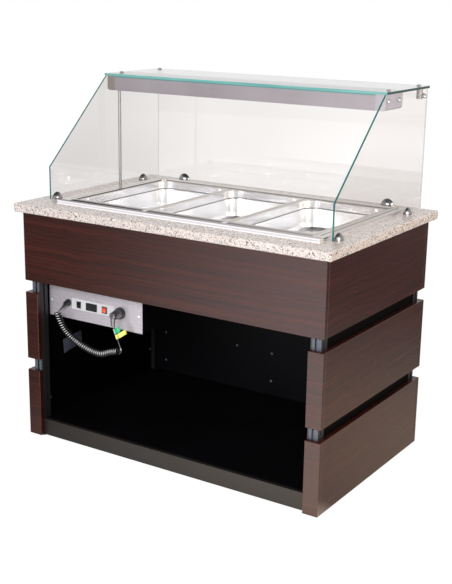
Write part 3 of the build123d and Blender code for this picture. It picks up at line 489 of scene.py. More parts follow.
@dataclass(frozen=True)
class Skin(Finish):
    """Moulded plastic, paint, rubber or film."""

    base: Colour = tint(20, 20, 21)
    tone: Colour = tint(30, 30, 32)
    patch: float = 14.0
    pebble: float = 900.0
    rough: Ends = (0.3, 0.42)
    relief: float = 0.1
    specular: float = 0.5

    DEPTH = 0.0001

    def dress(self, recipe: Recipe, shader: Node) -> None:
        """Two close tones, an uneven gloss and a fine pebble."""
        values: Inputs = {"Base": self.base, "Tone": self.tone, "Patch": self.patch, "Pebble": self.pebble}
        values |= zip(("Low", "High"), self.rough)
        skin = recipe.group(Effects.mottle(), values).outputs
        recipe.fill(shader, {
            "Base Color": skin["Color"], "Roughness": skin["Roughness"], SPECULAR: self.specular,
            "Normal": recipe.relief(skin["Height"], self.relief, self.DEPTH),
        })


@dataclass(frozen=True)
class Glass(Finish):
    """A clear pane whose polished edges look teal, with a painted reflection that makes them paler where they
    face the front.
    """

    axis: Axis = X
    edge: Colour = tint(36, 104, 102)
    edge_deep: Colour = tint(20, 70, 70)
    lip_reflection: Colour = tint(40, 118, 116)
    lip_reflection_deep: Colour = tint(24, 92, 92)
    body: Colour = (0.97, 0.94, 0.925, 1.0)
    clear: Colour = (0.985, 0.981, 0.978, 1.0)
    ahead: Ends = (-0.3, 0.5)
    edge_below: float = 0.5
    front_below: float = -0.6
    ior: float = 1.47
    smear: Point = (5.0, 5.0, 9.0)
    smear_reach: Ends = (0.4, 0.8)
    smear_rough: float = 0.02
    streak: Point = (5.0, 5.0, 260.0)
    rim_rough: float = 0.15
    rim_specular: float = 0.2

    def dress(self, recipe: Recipe, shader: Node) -> None:
        """Clear faces, teal edges with a painted reflection on the front-facing ones, and light that passes
        through to what stands behind.
        """
        smear = recipe.noise(self.smear, detail=3.0)
        recipe.fill(shader, {
            "Base Color": self.body, "Transmission Weight": 1.0, "IOR": self.ior,
            "Roughness": recipe.span(smear, 0.0, self.smear_rough, self.smear_reach),
        })
        facing = recipe.add("NewGeometry").outputs["True Normal"]
        edge = recipe.math("ABSOLUTE", recipe.part(facing, self.axis))
        edge = recipe.math("LESS_THAN", edge, self.edge_below)
        front = recipe.math("LESS_THAN", recipe.part(facing, Y), self.front_below)
        front = recipe.math("MULTIPLY", front, recipe.band(Y, *self.ahead))
        bands = recipe.span(recipe.noise(self.streak, detail=2.0), 0.0, 1.0)
        side = recipe.blend(bands, self.edge, self.edge_deep)
        # Edges that face the front take the paler tones of their painted reflection.
        tone = recipe.blend(front, side, recipe.blend(bands, self.lip_reflection, self.lip_reflection_deep))
        look = {"Base Color": tone, "Roughness": self.rim_rough, SPECULAR: self.rim_specular}
        rim = recipe.add("BsdfPrincipled", look).outputs["BSDF"]
        pane = recipe.add("MixShader", {0: edge, 1: shader.outputs["BSDF"], 2: rim}).outputs["Shader"]
        rays = recipe.add("LightPath").outputs
        seen = recipe.math("MAXIMUM", rays["Is Camera Ray"], rays["Is Transmission Ray"])
        clear = recipe.add("BsdfTransparent", {"Color": self.clear}).outputs["BSDF"]
        last = recipe.add("MixShader", {0: seen, 1: clear, 2: pane}).outputs["Shader"]
        recipe.feed(recipe.tree.nodes["Material Output"], "Surface", last)


@dataclass(frozen=True)
class PostMetal(BrushedMetal):
    """Anodised posts that are black but for the faces that look to the front or the back."""

    inside: Colour = tint(8, 8, 9)
    covered: float = 0.5655
    outward: Point = (1.0, 1.6, 0.0)
    inward_below: float = -0.3
    side_above: float = 0.7

    def dress(self, recipe: Recipe, shader: Node) -> None:
        """The lines of the metal, with black on the faces that look inwards or sideways."""
        super().dress(recipe, shader)
        facing = recipe.add("NewGeometry").outputs["True Normal"]
        outward = recipe.vector("DOT_PRODUCT", facing, recipe.places(self.outward))
        sides = recipe.math("ABSOLUTE", recipe.part(facing, X))
        black = recipe.math("LESS_THAN", outward, self.inward_below)
        black = recipe.math("MAXIMUM", black, recipe.math("GREATER_THAN", sides, self.side_above))
        black = recipe.math("MAXIMUM", black, recipe.band(X, 0.0, self.covered))
        recipe.cover(shader, black, self.inside)
        recipe.feed(shader, "Metallic", recipe.span(black, self.metallic, 0.0, WHOLE))


@dataclass(frozen=True)
class Sheath(Skin):
    """Black sheath with a painted highlight on the crests of its curls that face up and to the front."""

    # The colour of the painted highlight on the crests.
    painted_glint: Colour = tint(236, 236, 239)
    crest: Ends = (0.5, 0.75)
    # The way that the crests with the painted highlight face: up and to the front.
    way: Point = (0.333, -0.87, 0.364)
    reach: Ends = (0.86, 0.97)

    def dress(self, recipe: Recipe, shader: Node) -> None:
        """The skin of the sheath, with a pale rub on each crest."""
        super().dress(recipe, shader)
        crest = recipe.add("Attribute", attribute_name="crest").outputs["Fac"]
        facing = recipe.vector("DOT_PRODUCT", recipe.add("NewGeometry").outputs["Normal"], self.way)
        outer = recipe.span(crest, 0.0, 1.0, self.crest)
        # The skin of the sheath, with a painted highlight on each crest.
        upper = recipe.span(facing, 0.0, 1.0, self.reach)
        recipe.cover(shader, recipe.math("MULTIPLY", outer, upper), self.painted_glint)


@dataclass(frozen=True)
class Film(Skin):
    """Blank film that is white beside the lead and coloured further out."""

    start: Point = LEAD_FOOT
    across: Point = TAG_ACROSS
    margin: float = -0.0012
    blank: Colour = tint(236, 240, 236)

    def dress(self, recipe: Recipe, shader: Node) -> None:
        """The skin of the film, with its white margin."""
        super().dress(recipe, shader)
        where = recipe.vector("SUBTRACT", recipe.coords(), self.start)
        out = recipe.vector("DOT_PRODUCT", where, self.across)
        recipe.cover(shader, recipe.math("LESS_THAN", out, self.margin), self.blank)


@dataclass(frozen=True)
class LitPlastic(Skin):
    """Clear red plastic with a small lamp behind its lower half."""

    glow: Colour = tint(255, 160, 120)
    lamp: Point = (-0.305, -0.322, 0.518)
    reach: float = 0.011
    faint: float = 0.08
    strength: float = 0.9

    def dress(self, recipe: Recipe, shader: Node) -> None:
        """The skin of the plastic, with a glow round the lamp."""
        super().dress(recipe, shader)
        away = recipe.vector("DISTANCE", recipe.coords(), self.lamp)
        near = recipe.span(away, 1.0, self.faint, (0.0, self.reach))
        glow = recipe.blend(near, DARK, self.glow)
        recipe.fill(shader, {"Emission Color": glow, "Emission Strength": self.strength})


class Wardrobe:
    """Every finish of the counter as a material, by slot, and by node where a node has its own."""

    # Painted light and shade on the well steel: the flat rims a painted shade, the gaps round the pans
    # painted shadow lines, and a painted sheen towards the right.
    SHADED_RIM = tint(204, 198, 192)
    GAP_SHADOW = tint(72, 69, 70)
    GAP_SHADE = tint(132, 128, 126)
    PAINTED_SHEEN = tint(206, 203, 205)
    BEAD = tint(250, 249, 252)
    FRONT_ROW = (X, 0.016, 0.4925)
    SIDE_RUN = (Y, 0.02, 0.285)
    FRONT_FACE = (Y, -0.3145, 0.0035)
    SEAM_RUN = (Y, -0.278, 0.0115)
    # The frame's bands: the front rail a painted shade with a painted sheen to the right, a painted shadow
    # along the pans' front edge, pale strips at the divider ends, a painted highlight on the front face above
    # a painted shade line, and painted shadow lines at the back and sides of the pans.
    FRAME_BANDS = (
        Band(Z, 0.9005, 0.0022, SHADED_RIM, dull=False),
        Band(Y, -0.300, 0.012, tint(172, 170, 173), right=PAINTED_SHEEN),
        Band(Y, -0.2805, 0.0078, tint(44, 41, 44), right=tint(172, 169, 171), within=FRONT_ROW),
        Band(Y, -0.266, 0.007, tint(176, 172, 172), right=PAINTED_SHEEN, within=FRONT_ROW),
        Band(X, -0.1475, 0.009, BEAD, within=SEAM_RUN),
        Band(X, 0.1795, 0.009, BEAD, within=SEAM_RUN),
        Band(*FRONT_FACE, tint(240, 239, 242)),
        Band(Z, 0.8938, 0.0026, tint(205, 203, 207), within=FRONT_FACE),
        Band(Y, 0.275, 0.002, GAP_SHADE),
        Band(X, 0.5275, 0.0022, GAP_SHADE, within=SIDE_RUN),
        Band(X, 0.5075, 0.0015, GAP_SHADOW, within=SIDE_RUN),
        Band(X, -0.4955, 0.0018, GAP_SHADE, within=SIDE_RUN),
        Band(X, -0.4755, 0.0015, GAP_SHADOW, within=SIDE_RUN),
    )
    # The pans' bands: the flat rims a painted shade, the walls below the shoulder a little darker, a painted
    # shadow line at the shoulder, and painted shadow lines along the edges where the pans meet the frame and
    # each other.
    PAN_BANDS = (
        Band(Z, 0.8990, 0.0018, SHADED_RIM, dull=False),
        Band(Z, 0.8330, 0.0355, tint(238, 237, 238), dull=False),
        Band(Z, 0.8700, 0.0012, tint(104, 101, 102)),
        Band(Y, 0.273, 0.002, GAP_SHADE),
        Band(X, -0.4735, 0.0015, GAP_SHADE),
        Band(X, -0.1475, 0.0020, GAP_SHADE),
        Band(X, 0.1795, 0.0020, GAP_SHADE),
        Band(X, 0.5055, 0.0015, GAP_SHADOW),
    )
    # A painted reflection of the shelf's teal edge along the canopy's top.
    CANOPY_BANDS = (Band(Z, 1.3135, 0.0036, tint(92, 140, 136), dull=False, within=(Y, 0.054, 0.003)),)
    # Painted shade on the end caps: a strip at their front edge painted nearer the canopy's front tone, and
    # the left cap a darker taupe, a painted reflection.
    CAP_BANDS = (
        Band(Y, 0.054, 0.0035, tint(158, 152, 157), dull=False),
        Band(X, -0.6, 0.3, tint(140, 131, 126), dull=False),
    )
    FAINT = (tint(216, 222, 221), tint(198, 208, 206))
    # The shelf's teal edges, then the paler tones of their painted reflection where they face the front.
    SHELF_EDGE = (tint(26, 68, 64), tint(16, 50, 48), tint(142, 198, 194), tint(88, 160, 156))
    SHELF_BODY = (0.995, 0.98, 0.972, 1.0)
    WELL_STEEL = (tint(244, 243, 244), tint(252, 251, 251), even(9.0), (0.22, 0.26), 0.000001)
    ZINC = Skin("zinc_plate", tint(70, 74, 90), tint(94, 99, 116), 40.0, rough=(0.34, 0.46), relief=0.08)
    BY_SLOT: dict[Slot, Finish] = {
        Slot.LAMINATE: Laminate("wenge"),
        Slot.GRANITE: Granite("granite"),
        Slot.STEEL: BrushedMetal(
            "stainless", tint(230, 229, 228), tint(244, 243, 242), even(160.0), (0.24, 0.36), 0.00002
        ),
        Slot.PLATE: BrushedMetal(
            "satin_plate", tint(188, 182, 189), tint(196, 190, 197), (8.0, 500.0, 500.0), (0.25, 0.3),
            depth=0.00001, metallic=0.3,
        ),
        Slot.CANOPY: BrushedMetal(
            "brushed_canopy", tint(146, 139, 144), tint(157, 150, 155), (5.0, 520.0, 520.0), (0.3, 0.42),
            depth=0.00004, metallic=0.18, bands=CANOPY_BANDS,
        ),
        Slot.CHROME: BrushedMetal(
            "chrome", tint(128, 127, 129), tint(158, 157, 160), even(60.0), (0.05, 0.12), 0.00001
        ),
        Slot.BLACK: Skin("black_coat", tint(3, 3, 5), tint(6, 6, 10), 6.0, 700.0, (0.5, 0.62), specular=0.09),
        Slot.FASCIA: Skin(
            "grey_coat", tint(31, 28, 27), tint(38, 34, 32), 5.0, 800.0, (0.4, 0.52), specular=0.22
        ),
        Slot.POSTS: PostMetal(
            "anodised", tint(64, 67, 77), tint(98, 103, 115), (420.0, 420.0, 3.0), (0.5, 0.62), metallic=0.1
        ),
        Slot.RUBBER: Skin("rubber", tint(18, 18, 18), tint(28, 28, 28), 30.0, 1200.0, (0.6, 0.75), 0.2, 0.4),
        Slot.BLACK_PLASTIC: Skin(
            "black_moulding", tint(20, 20, 22), tint(32, 32, 35), 40.0, 1500.0, (0.12, 0.22), 0.06, 0.6
        ),
        # The black sheath's base is a lighter grey than black, a painted sheen on the sides of its curls.
        Slot.CORD: Sheath(
            "cord_sheath", tint(30, 30, 32), tint(44, 44, 47), 80.0, 2200.0, (0.2, 0.3), 0.05, 0.3
        ),
        Slot.WHITE_PLASTIC: Skin(
            "white_moulding", tint(212, 210, 214), tint(222, 221, 224), 30.0, 1800.0, (0.3, 0.4), 0.06
        ),
        Slot.RED_PLASTIC: Skin(
            "red_moulding", tint(196, 40, 26), tint(224, 58, 38), 60.0, 1600.0, (0.2, 0.3), 0.05
        ),
        Slot.GREEN_FILM: Film(
            "green_film", tint(30, 176, 116), tint(58, 192, 138), 120.0, rough=(0.3, 0.45), relief=0.06
        ),
        Slot.YELLOW_FILM: Film(
            "yellow_film", tint(242, 240, 96), tint(250, 248, 140), 120.0, rough=(0.3, 0.45), relief=0.06,
            margin=-0.003,
        ),
        Slot.BRASS: BrushedMetal("brass", tint(176, 138, 70), tint(206, 170, 96), even(200.0), (0.22, 0.38)),
        Slot.LAMP: Skin(
            "lamp_glass", tint(240, 240, 236), tint(248, 248, 246), 20.0, rough=(0.12, 0.2), relief=0.02
        ),
    }
    BY_NODE: dict[tuple[str, ...], Finish] = {
        ("left_pane", "right_pane"): Glass("pane_x", X, *FAINT),
        ("back_pane",): Glass("pane_y", Y, *FAINT),
        ("shelf_pane",): Glass("pane_z", Z, *SHELF_EDGE, SHELF_BODY),
        ("main_rocker",): LitPlastic(
            "lit_rocker", tint(236, 74, 52), tint(244, 92, 68), 60.0, 1600.0, (0.2, 0.3), 0.05
        ),
        ("canopy_end_caps",): BrushedMetal(
            "cap_sheet", tint(186, 181, 194), tint(200, 195, 208), (520.0, 5.0, 520.0), (0.3, 0.42),
            depth=0.00004, metallic=0.35, bands=CAP_BANDS,
        ),
        ("conduit_rod",): BrushedMetal(
            "satin_rod", tint(136, 133, 131), tint(158, 155, 153), (300.0, 300.0, 4.0), (0.3, 0.4),
            depth=0.00002, metallic=0.5,
        ),
        ("corner_connectors",): BrushedMetal(
            "dull_chrome", tint(110, 102, 98), tint(144, 136, 132), even(80.0), (0.12, 0.22),
            depth=0.00001, metallic=0.8,
        ),
        ("guard_screws",): BrushedMetal(
            "screw_heads", tint(176, 176, 180), tint(206, 206, 210), even(60.0), (0.1, 0.2),
            depth=0.00001, metallic=0.55,
        ),
        ("pan_divider_bars",): BrushedMetal(
            "bar_steel", tint(240, 240, 240), tint(250, 250, 250), even(60.0), (0.3, 0.4),
            depth=0.00001, metallic=0.3,
        ),
        ("left_side_panel", "right_side_panel"): Skin(
            "black_walls", tint(4, 3, 3), tint(7, 6, 5), 6.0, 700.0, (0.5, 0.62), specular=0.02
        ),
        # The black plug is painted a lighter grey than the black moulding, a painted reflection.
        ("mains_plug",): Skin(
            "plug_moulding", tint(50, 49, 54), tint(86, 85, 91), 60.0, 1500.0, (0.05, 0.12), 0.03, 1.0
        ),
        ("well_frame",): BrushedMetal("frame_steel", *WELL_STEEL, bands=FRAME_BANDS),
        ("left_pan", "middle_pan", "right_pan"): BrushedMetal("pan_steel", *WELL_STEEL, bands=PAN_BANDS),
    }

    def __init__(self) -> None:
        """Makes the materials."""
        self.by_slot = {slot: finish.material() for slot, finish in self.BY_SLOT.items()}
        self.zinc = self.ZINC.material()
        self.by_node: dict[str, Material] = {}
        for nodes, finish in self.BY_NODE.items():
            self.by_node.update(dict.fromkeys(nodes, finish.material()))

    def of_node(self, node: str, slot: str) -> Material:
        """The material of a CAD node."""
        return self.by_node.get(node) or self.by_slot[Slot(slot)]


class Workshop:
    """Turns shapes into finished pieces that ride on a body."""

    def __init__(self, wardrobe: Wardrobe) -> None:
        """Keeps the materials."""
        self.wardrobe = wardrobe

    def finish(
        self,
        thing: Thing,
        slot: Slot,
        body: str,
        replaces: Sequence[str] = (),
        material: Material | None = None,
    ) -> Thing:
        """Gives a piece its material, its slot's unless it has its own, and its body.

        Args:
            thing: The piece, whose data has no material yet.
            slot: The record's slot of its finish.
            body: The CAD body that carries it.
            replaces: CAD nodes that it stands for.
            material: A material of its own, where it differs from its slot's.

        Returns:
            The piece.
        """
        thing.data.materials.append(material or self.wardrobe.by_slot[slot])
        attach(thing, body)
        if replaces:
            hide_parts(*replaces)
        LOG.info("%s rides on %s", thing.name, body)
        return thing

    def solid(self, name: str, shape: Shape, crease: float = 35.0) -> Thing:
        """A mesh object from a bmesh, smooth but for edges sharper than crease degrees."""
        bmesh.ops.remove_doubles(shape, verts=shape.verts, dist=WELD)
        bmesh.ops.recalc_face_normals(shape, faces=shape.faces)
        mesh = bpy.data.meshes.new(name)
        shape.to_mesh(mesh)
        shape.free()
        mesh.shade_smooth()
        mesh.set_sharp_from_angle(angle=math.radians(crease))
        return add_thing(name, mesh)


def of_kind(made: dict[str, Any], kind: type) -> list[Any]:
    """The new corners, edges or faces of an operation on a shape."""
    return [item for item in made["geom"] if isinstance(item, kind)]


def stand_on(place: Vector, facing: Vector) -> Matrix:
    """A frame whose Z axis faces away from a surface at a place."""
    return Matrix.Translation(place) @ facing.to_track_quat("Z", "Y").to_matrix().to_4x4()


def add_screw(shape: Shape, place: Vector, facing: Vector, radius: float) -> None:
    """Adds one domed screw head with a round socket, standing on a surface."""
    start = len(shape.verts)
    made = bmesh.ops.create_circle(shape, cap_ends=True, segments=SCREW_SIDES, radius=radius)
    face = made["verts"][0].link_faces[0]
    for share, rise in SCREW_STEPS:
        grown = bmesh.ops.extrude_face_region(shape, geom=[face])
        face = of_kind(grown, bmesh.types.BMFace)[0]
        bmesh.ops.translate(shape, verts=face.verts[:], vec=(0, 0, rise * radius))
        now = face.calc_center_median()
        wide = max((corner.co - now).length for corner in face.verts)
        grow = (share * radius / wide,) * 2 + (1.0,)
        bmesh.ops.scale(shape, verts=face.verts[:], vec=grow, space=Matrix.Translation(-now))
    bmesh.ops.inset_individual(shape, faces=[face], thickness=SOCKET_IN * radius)
    bmesh.ops.translate(shape, verts=face.verts[:], vec=(0, 0, -SOCKET_DEPTH * radius))
    shape.verts.ensure_lookup_table()
    bmesh.ops.transform(shape, matrix=stand_on(place, facing), verts=shape.verts[start:])


@dataclass
class Viewpoint:
    """The camera, at the place that the photograph was taken from."""

    place: Point = (2.11957, -3.26172, 1.64374)
    yaw: float = 0.57450
    pitch: float = -0.26856
    roll: float = 0.01548
    focal_px: float = 1109.548

    def build(self) -> Thing:
        """Makes the camera and gives it to the scene."""
        lens = bpy.data.cameras.new("camera")
        lens.sensor_width = SENSOR
        lens.lens = self.focal_px / IMAGE_HEIGHT * SENSOR
        camera = add_thing("camera", lens)
        level = math.cos(self.pitch)
        ahead = Vector((-math.sin(self.yaw) * level, math.cos(self.yaw) * level, math.sin(self.pitch)))
        side = ahead.cross(Vector((0, 0, 1))).normalized()
        up = side.cross(ahead)
        right = side * math.cos(self.roll) + up * math.sin(self.roll)
        top = up * math.cos(self.roll) - side * math.sin(self.roll)
        turned = Matrix((right, top, -ahead)).transposed().to_4x4()
        camera.matrix_world = Matrix.Translation(self.place) @ turned
        bpy.context.scene.camera = camera
        return camera


@dataclass(frozen=True)
class Lamp:
    """One soft rectangular lamp."""

    name: str
    place: Point
    aim: Point
    size: Ends
    watts: float
    colour: Point = (1.0, 1.0, 1.0)

    def build(self) -> None:
        """Places the lamp."""
        light = bpy.data.lights.new(self.name, "AREA")
        light.shape = "RECTANGLE"
        light.size, light.size_y = self.size
        light.energy = self.watts
        light.color = self.colour
        thing = add_thing(self.name, light)
        way = Vector(self.aim) - Vector(self.place)
        turned = way.to_track_quat("-Z", "Y").to_matrix().to_4x4()
        thing.matrix_world = Matrix.Translation(self.place) @ turned


@dataclass
class Studio:
    """White surround, soft lamps and a pale floor that mirrors brighter to the front right."""

    floor_half: float = 14.0
    paper: Colour = (0.08, 0.08, 0.08, 1.0)
    paper_rough: float = 0.9
    sky: float = 0.42
    ceiling: float = 0.16
    ceiling_rise: Ends = (0.5, 0.8)
    seen: float = 0.97
    through: float = 0.9
    through_left: float = 0.74
    across: Point = (1.0, 0.7, 0.0)
    left_reach: Ends = (-1.4, 0.2)
    bounce: float = 0.3
    warmth: Colour = (1.0, 0.84, 0.66, 1.0)
    warm_spot: Point = (0.75, 0.3, 0.0)
    warm_reach: Ends = (0.2, 1.9)
    warm_glow: float = 0.66
    glare_way: Point = (0.864, -0.504, 0.0)
    glare_reach: Ends = (-0.5, 0.75)
    glare_front: Ends = (-0.45, -0.25)
    glare: float = 4.3
    glare_far: float = 1.9
    glare_fade: Ends = (-9.0, -5.0)
    far_glow: float = 0.12
    back_glow: float = 0.7
    back_reach: Ends = (4.5, 8.0)
    lamps: tuple[Lamp, ...] = (
        Lamp("key", (0.5, -5.4, 2.5), (0.0, 0.0, 0.75), (3.6, 2.2), 226.0),
        Lamp("side", (4.2, -0.6, 2.0), (0.3, 0.0, 0.5), (2.0, 2.0), 100.0, (1.0, 0.88, 0.74)),
        Lamp("spot", (0.9, -4.2, 2.9), (0.0, -0.2, 0.6), (0.4, 0.4), 8.0),
    )

    def build(self) -> None:
        """Makes the world, the lamps and the floor."""
        self.world()
        for lamp in self.lamps:
            lamp.build()
        self.floor()

    def world(self) -> None:
        """A soft surround: white for the camera and glass, and for metal white all round but dim overhead."""
        world = bpy.data.worlds.new("studio")
        bpy.context.scene.world = world
        world.use_nodes = True
        recipe = Recipe(world.node_tree)
        recipe.tree.nodes.clear()
        rise = recipe.part(recipe.add("TexCoord").outputs["Generated"], Z)
        mirrored = recipe.span(rise, 1.0, self.ceiling, self.ceiling_rise)
        strength = recipe.by_ray(self.sky, mirrored, 1.0, 1.0)
        light = recipe.add("Background", {"Color": WHITE, "Strength": strength})
        recipe.feed(recipe.add("OutputWorld"), "Surface", light.outputs["Background"])

    def floor(self) -> None:
        """A pale floor that keeps the counter's shadow."""
        shape = bmesh.new()
        bmesh.ops.create_grid(shape, x_segments=1, y_segments=1, size=self.floor_half)
        mesh = bpy.data.meshes.new("floor")
        shape.to_mesh(mesh)
        shape.free()
        material = bpy.data.materials.new("floor_paper")
        material.use_nodes = True
        recipe = Recipe(material.node_tree)
        shader = material.node_tree.nodes["Principled BSDF"]
        recipe.fill(shader, {"Base Color": self.paper, "Roughness": self.paper_rough, SPECULAR: 0.0})
        where = recipe.coords()
        level = recipe.vector("DOT_PRODUCT", where, self.glare_way)
        beside = recipe.vector("DISTANCE", where, self.warm_spot)
        depth = recipe.part(where, Y)
        aside = recipe.vector("DOT_PRODUCT", where, self.across)
        front = recipe.span(depth, self.glare, self.far_glow, self.glare_front)
        fade = recipe.span(depth, self.glare_far, self.glare, self.glare_fade)
        front = recipe.math("MINIMUM", front, fade)
        near = recipe.choose(recipe.span(level, 0.0, 1.0, self.glare_reach), self.far_glow, front)
        far = recipe.span(depth, 0.0, self.back_glow, self.back_reach)
        warm = recipe.span(beside, self.warm_glow, 0.0, self.warm_reach)
        mirrored = recipe.math("ADD", recipe.math("ADD", near, far), warm)
        through = recipe.span(aside, self.through_left, self.through, self.left_reach)
        tinted = recipe.span(beside, 1.0, 0.0, self.warm_reach)
        tinted = recipe.math("MULTIPLY", tinted, recipe.add("LightPath").outputs["Is Glossy Ray"])
        recipe.fill(shader, {
            "Emission Color": recipe.blend(tinted, WHITE, self.warmth),
            "Emission Strength": recipe.by_ray(self.bounce, mirrored, through, self.seen),
        })
        mesh.materials.append(material)
        thing = add_thing("floor", mesh)


@dataclass
class MainsLead:
    """The curly lead from the gland to the plug, and its two blank tags."""

    dome: Point = (-0.473, -0.322, 0.526)
    route: tuple[Point, ...] = (
        (-0.501, -0.342, 0.489),
        (-0.481, -0.342, 0.440),
        (-0.425, -0.342, 0.400),
        (-0.355, -0.343, 0.376),
        (-0.297, -0.343, 0.368),
        (-0.255, -0.342, 0.388),
        (-0.219, -0.342, 0.396),
    )
    tail: tuple[Point, ...] = (LEAD_FOOT, (-0.231, -0.352, 0.4845))
    leaves: Point = (0.75, 0.0, 0.66)
    leaves_by: float = 0.012
    straight: float = 0.007
    bend: float = 0.009
    boot: float = 0.025
    wire: float = 0.0054
    curl: float = 0.0104
    turns: int = 36
    first: float = -85.0
    last: float = 270.0
    points_per_turn: int = 14
    route_steps: int = 24
    lead_steps: int = 4
    coil_reach: float = 1.1
    # The crest of the straight runs, which gives them a faint line of the painted highlight.
    straight_crest: float = 0.54
    tag_turn: float = 28.0
    sleeve: float = 0.0014
    sleeve_sides: int = 14
    folds: int = 5
    bow: float = math.pi * 0.9
    sag: float = 0.0016
    film: float = 0.0004
    green_size: tuple[float, ...] = (0.039, 0.020, 0.020, 0.005)
    yellow_size: tuple[float, ...] = (0.020, 0.038, 0.017, 0.009)

    def traced(self, points: Sequence[Vector], steps: int) -> list[Vector]:
        """Points read from the smooth spline through a route's control points."""
        mesh = self.drawn(self.spline("lead_trace", points, steps))
        traced = [corner.co.copy() for corner in mesh.vertices]
        bpy.data.meshes.remove(mesh)
        return traced

    def middle(self) -> list[Vector]:
        """Points along the middle of the coil."""
        return self.traced([Vector(point) for point in self.route], self.route_steps)

    @staticmethod
    def drawn(curve: bpy.types.Curve) -> bpy.types.Mesh:
        """The mesh of a curve, which is removed."""
        probe = bpy.data.objects.new(curve.name, curve)
        mesh = bpy.data.meshes.new_from_object(probe)
        bpy.data.objects.remove(probe)
        bpy.data.curves.remove(curve)
        return mesh

    def spline(self, name: str, points: Sequence[Vector], steps: int) -> bpy.types.Curve:
        """A curve of one open smooth spline.

        Args:
            name: The curve's name.
            points: Its control points.
            steps: How finely each span is drawn.

        Returns:
            The curve, with no thickness.
        """
        curve = bpy.data.curves.new(name, "CURVE")
        curve.dimensions = "3D"
        curve.resolution_u = steps
        line = curve.splines.new("NURBS")
        line.points.add(len(points) - 1)
        for spot, point in zip(line.points, points):
            spot.co = (*point, 1.0)
        line.order_u = 3
        line.use_endpoint_u = True
        return curve

    def curls(self) -> tuple[list[Vector], Vector, Vector]:
        """The helix round the route, with the wire's headings at its two ends."""
        axis = self.middle()
        run = [0.0]
        for before, after in zip(axis, axis[1:]):
            run.append(run[-1] + (after - before).length)
        whole = run[-1]
        sweep = 2 * math.pi * self.turns - math.radians(self.last - self.first - 360)
        count = round(sweep / (2 * math.pi) * self.points_per_turn)
        reach = self.curl / math.cos(math.pi / self.points_per_turn)
        helix: list[Vector] = []
        headings: list[Vector] = []
        leg = 0
        for step in range(count + 1):
            share = step / count
            while leg < len(run) - 2 and run[leg + 1] < share * whole:
                leg += 1
            along = (axis[leg + 1] - axis[leg]).normalized()
            spot = axis[leg] + along * (share * whole - run[leg])
            up = along.cross(Vector((0, 1, 0))).normalized()
            back = up.cross(along)
            angle = math.radians(self.first) - sweep * share
            helix.append(spot + (back * math.cos(angle) + up * math.sin(angle)) * reach)
            around = (back * math.sin(angle) - up * math.cos(angle)) * (self.curl * sweep)
            headings.append((around + along * whole).normalized())
        return helix, headings[0], headings[-1]

    def build(self, shop: Workshop, plug: Thing) -> Thing:
        """Args:
            shop: Where pieces are finished.
            plug: The plug on the lead's far end; not used.

        Returns:
            The lead.
        """
        helix, heading, last_heading = self.curls()
        entry = helix[0] - heading * self.leaves_by
        dome = Vector(self.dome)
        out = (entry - dome).normalized()
        start = dome + out * self.boot
        leaves = Vector(self.leaves).normalized()
        leave = helix[-1] + (last_heading + leaves).normalized() * self.leaves_by
        coil_end = leave + leaves * self.straight
        points = [start, entry - out * self.straight, entry, *helix]
        points += [leave, coil_end, coil_end + leaves * self.bend, *map(Vector, self.tail)]
        traced = self.traced(points, self.lead_steps)
        lead = self.tube(points)
        shop.finish(lead, Slot.CORD, BODY, ("gland_lead", "curly_cord", "plug_lead"))
        tags = [
            self.tag(shop, "green_flag", Slot.GREEN_FILM, "green_tag", self.green_size),
            self.tag(shop, "yellow_flag", Slot.YELLOW_FILM, "yellow_tag", self.yellow_size),
        ]
        return lead

    def tube(self, points: Sequence[Vector]) -> Thing:
        """The sheath along a line, which notes how far out on the coil each spot lies.

        Args:
            points: The control points of the lead's line.

        Returns:
            A mesh object with the attribute crest, 0 inside the curls and 1 on their outer sides.
        """
        curve = self.spline("lead_line", points, self.lead_steps)
        curve.bevel_depth = self.wire / 2
        curve.bevel_resolution = 3
        curve.use_fill_caps = True
        mesh = self.drawn(curve)
        mesh.name = "mains_lead"
        mesh.materials.clear()
        mesh.shade_smooth()
        axis = self.middle()
        tree = KDTree(len(axis))
        for place, spot in enumerate(axis):
            tree.insert(spot, place)
        tree.balance()
        crests = []
        for corner in mesh.vertices:
            near, place, _ = tree.find(corner.co)
            ahead = axis[min(place + 1, len(axis) - 1)] - axis[max(place - 1, 0)]
            away = corner.co - near
            away -= ahead * (away.dot(ahead) / ahead.length_squared)
            share = (away.length - self.curl + self.wire / 2) / self.wire
            crests.append(share if 0.0 <= share <= self.coil_reach else self.straight_crest)
        mesh.attributes.new("crest", "FLOAT", "POINT").data.foreach_set("value", crests)
        return add_thing("mains_lead", mesh)

    def tag(self, shop: Workshop, name: str, slot: Slot, node: str, sizes: Sequence[float]) -> Thing:
        """A blank film flag folded round the lead.

        Args:
            shop: Where pieces are finished.
            name: The piece's name.
            slot: The film's slot.
            node: The CAD node that it stands for.
            sizes: Its start along the lead's straight run, its length, its height and its rise.

        Returns:
            The flag.
        """
        along, length, height, rise = sizes
        low, high = (Vector(point) for point in self.tail)
        up = (high - low).normalized()
        turn = math.radians(self.tag_turn)
        across = Vector((math.cos(turn), math.sin(turn), 0))
        across = (across - up * up.dot(across)).normalized()
        out = across.cross(up)
        foot = low + up * along
        sleeve = self.wire / 2 + self.sleeve
        shape = bmesh.new()
        ends = [shape.verts.new(foot + across * sleeve + up * height * (step / 4)) for step in range(5)]
        seam = [shape.edges.new(pair) for pair in zip(ends, ends[1:])]
        bmesh.ops.spin(
            shape, geom=ends + seam, cent=foot, axis=up, angle=2 * math.pi,
            steps=self.sleeve_sides, use_merge=True,
        )

        def ahead(spot: bmesh.types.BMVert) -> bool:
            """Whether a corner of the sleeve lies where the flag leaves it."""
            away = spot.co - foot
            return (away - up * away.dot(up)).normalized().dot(across) > SAME_WAY

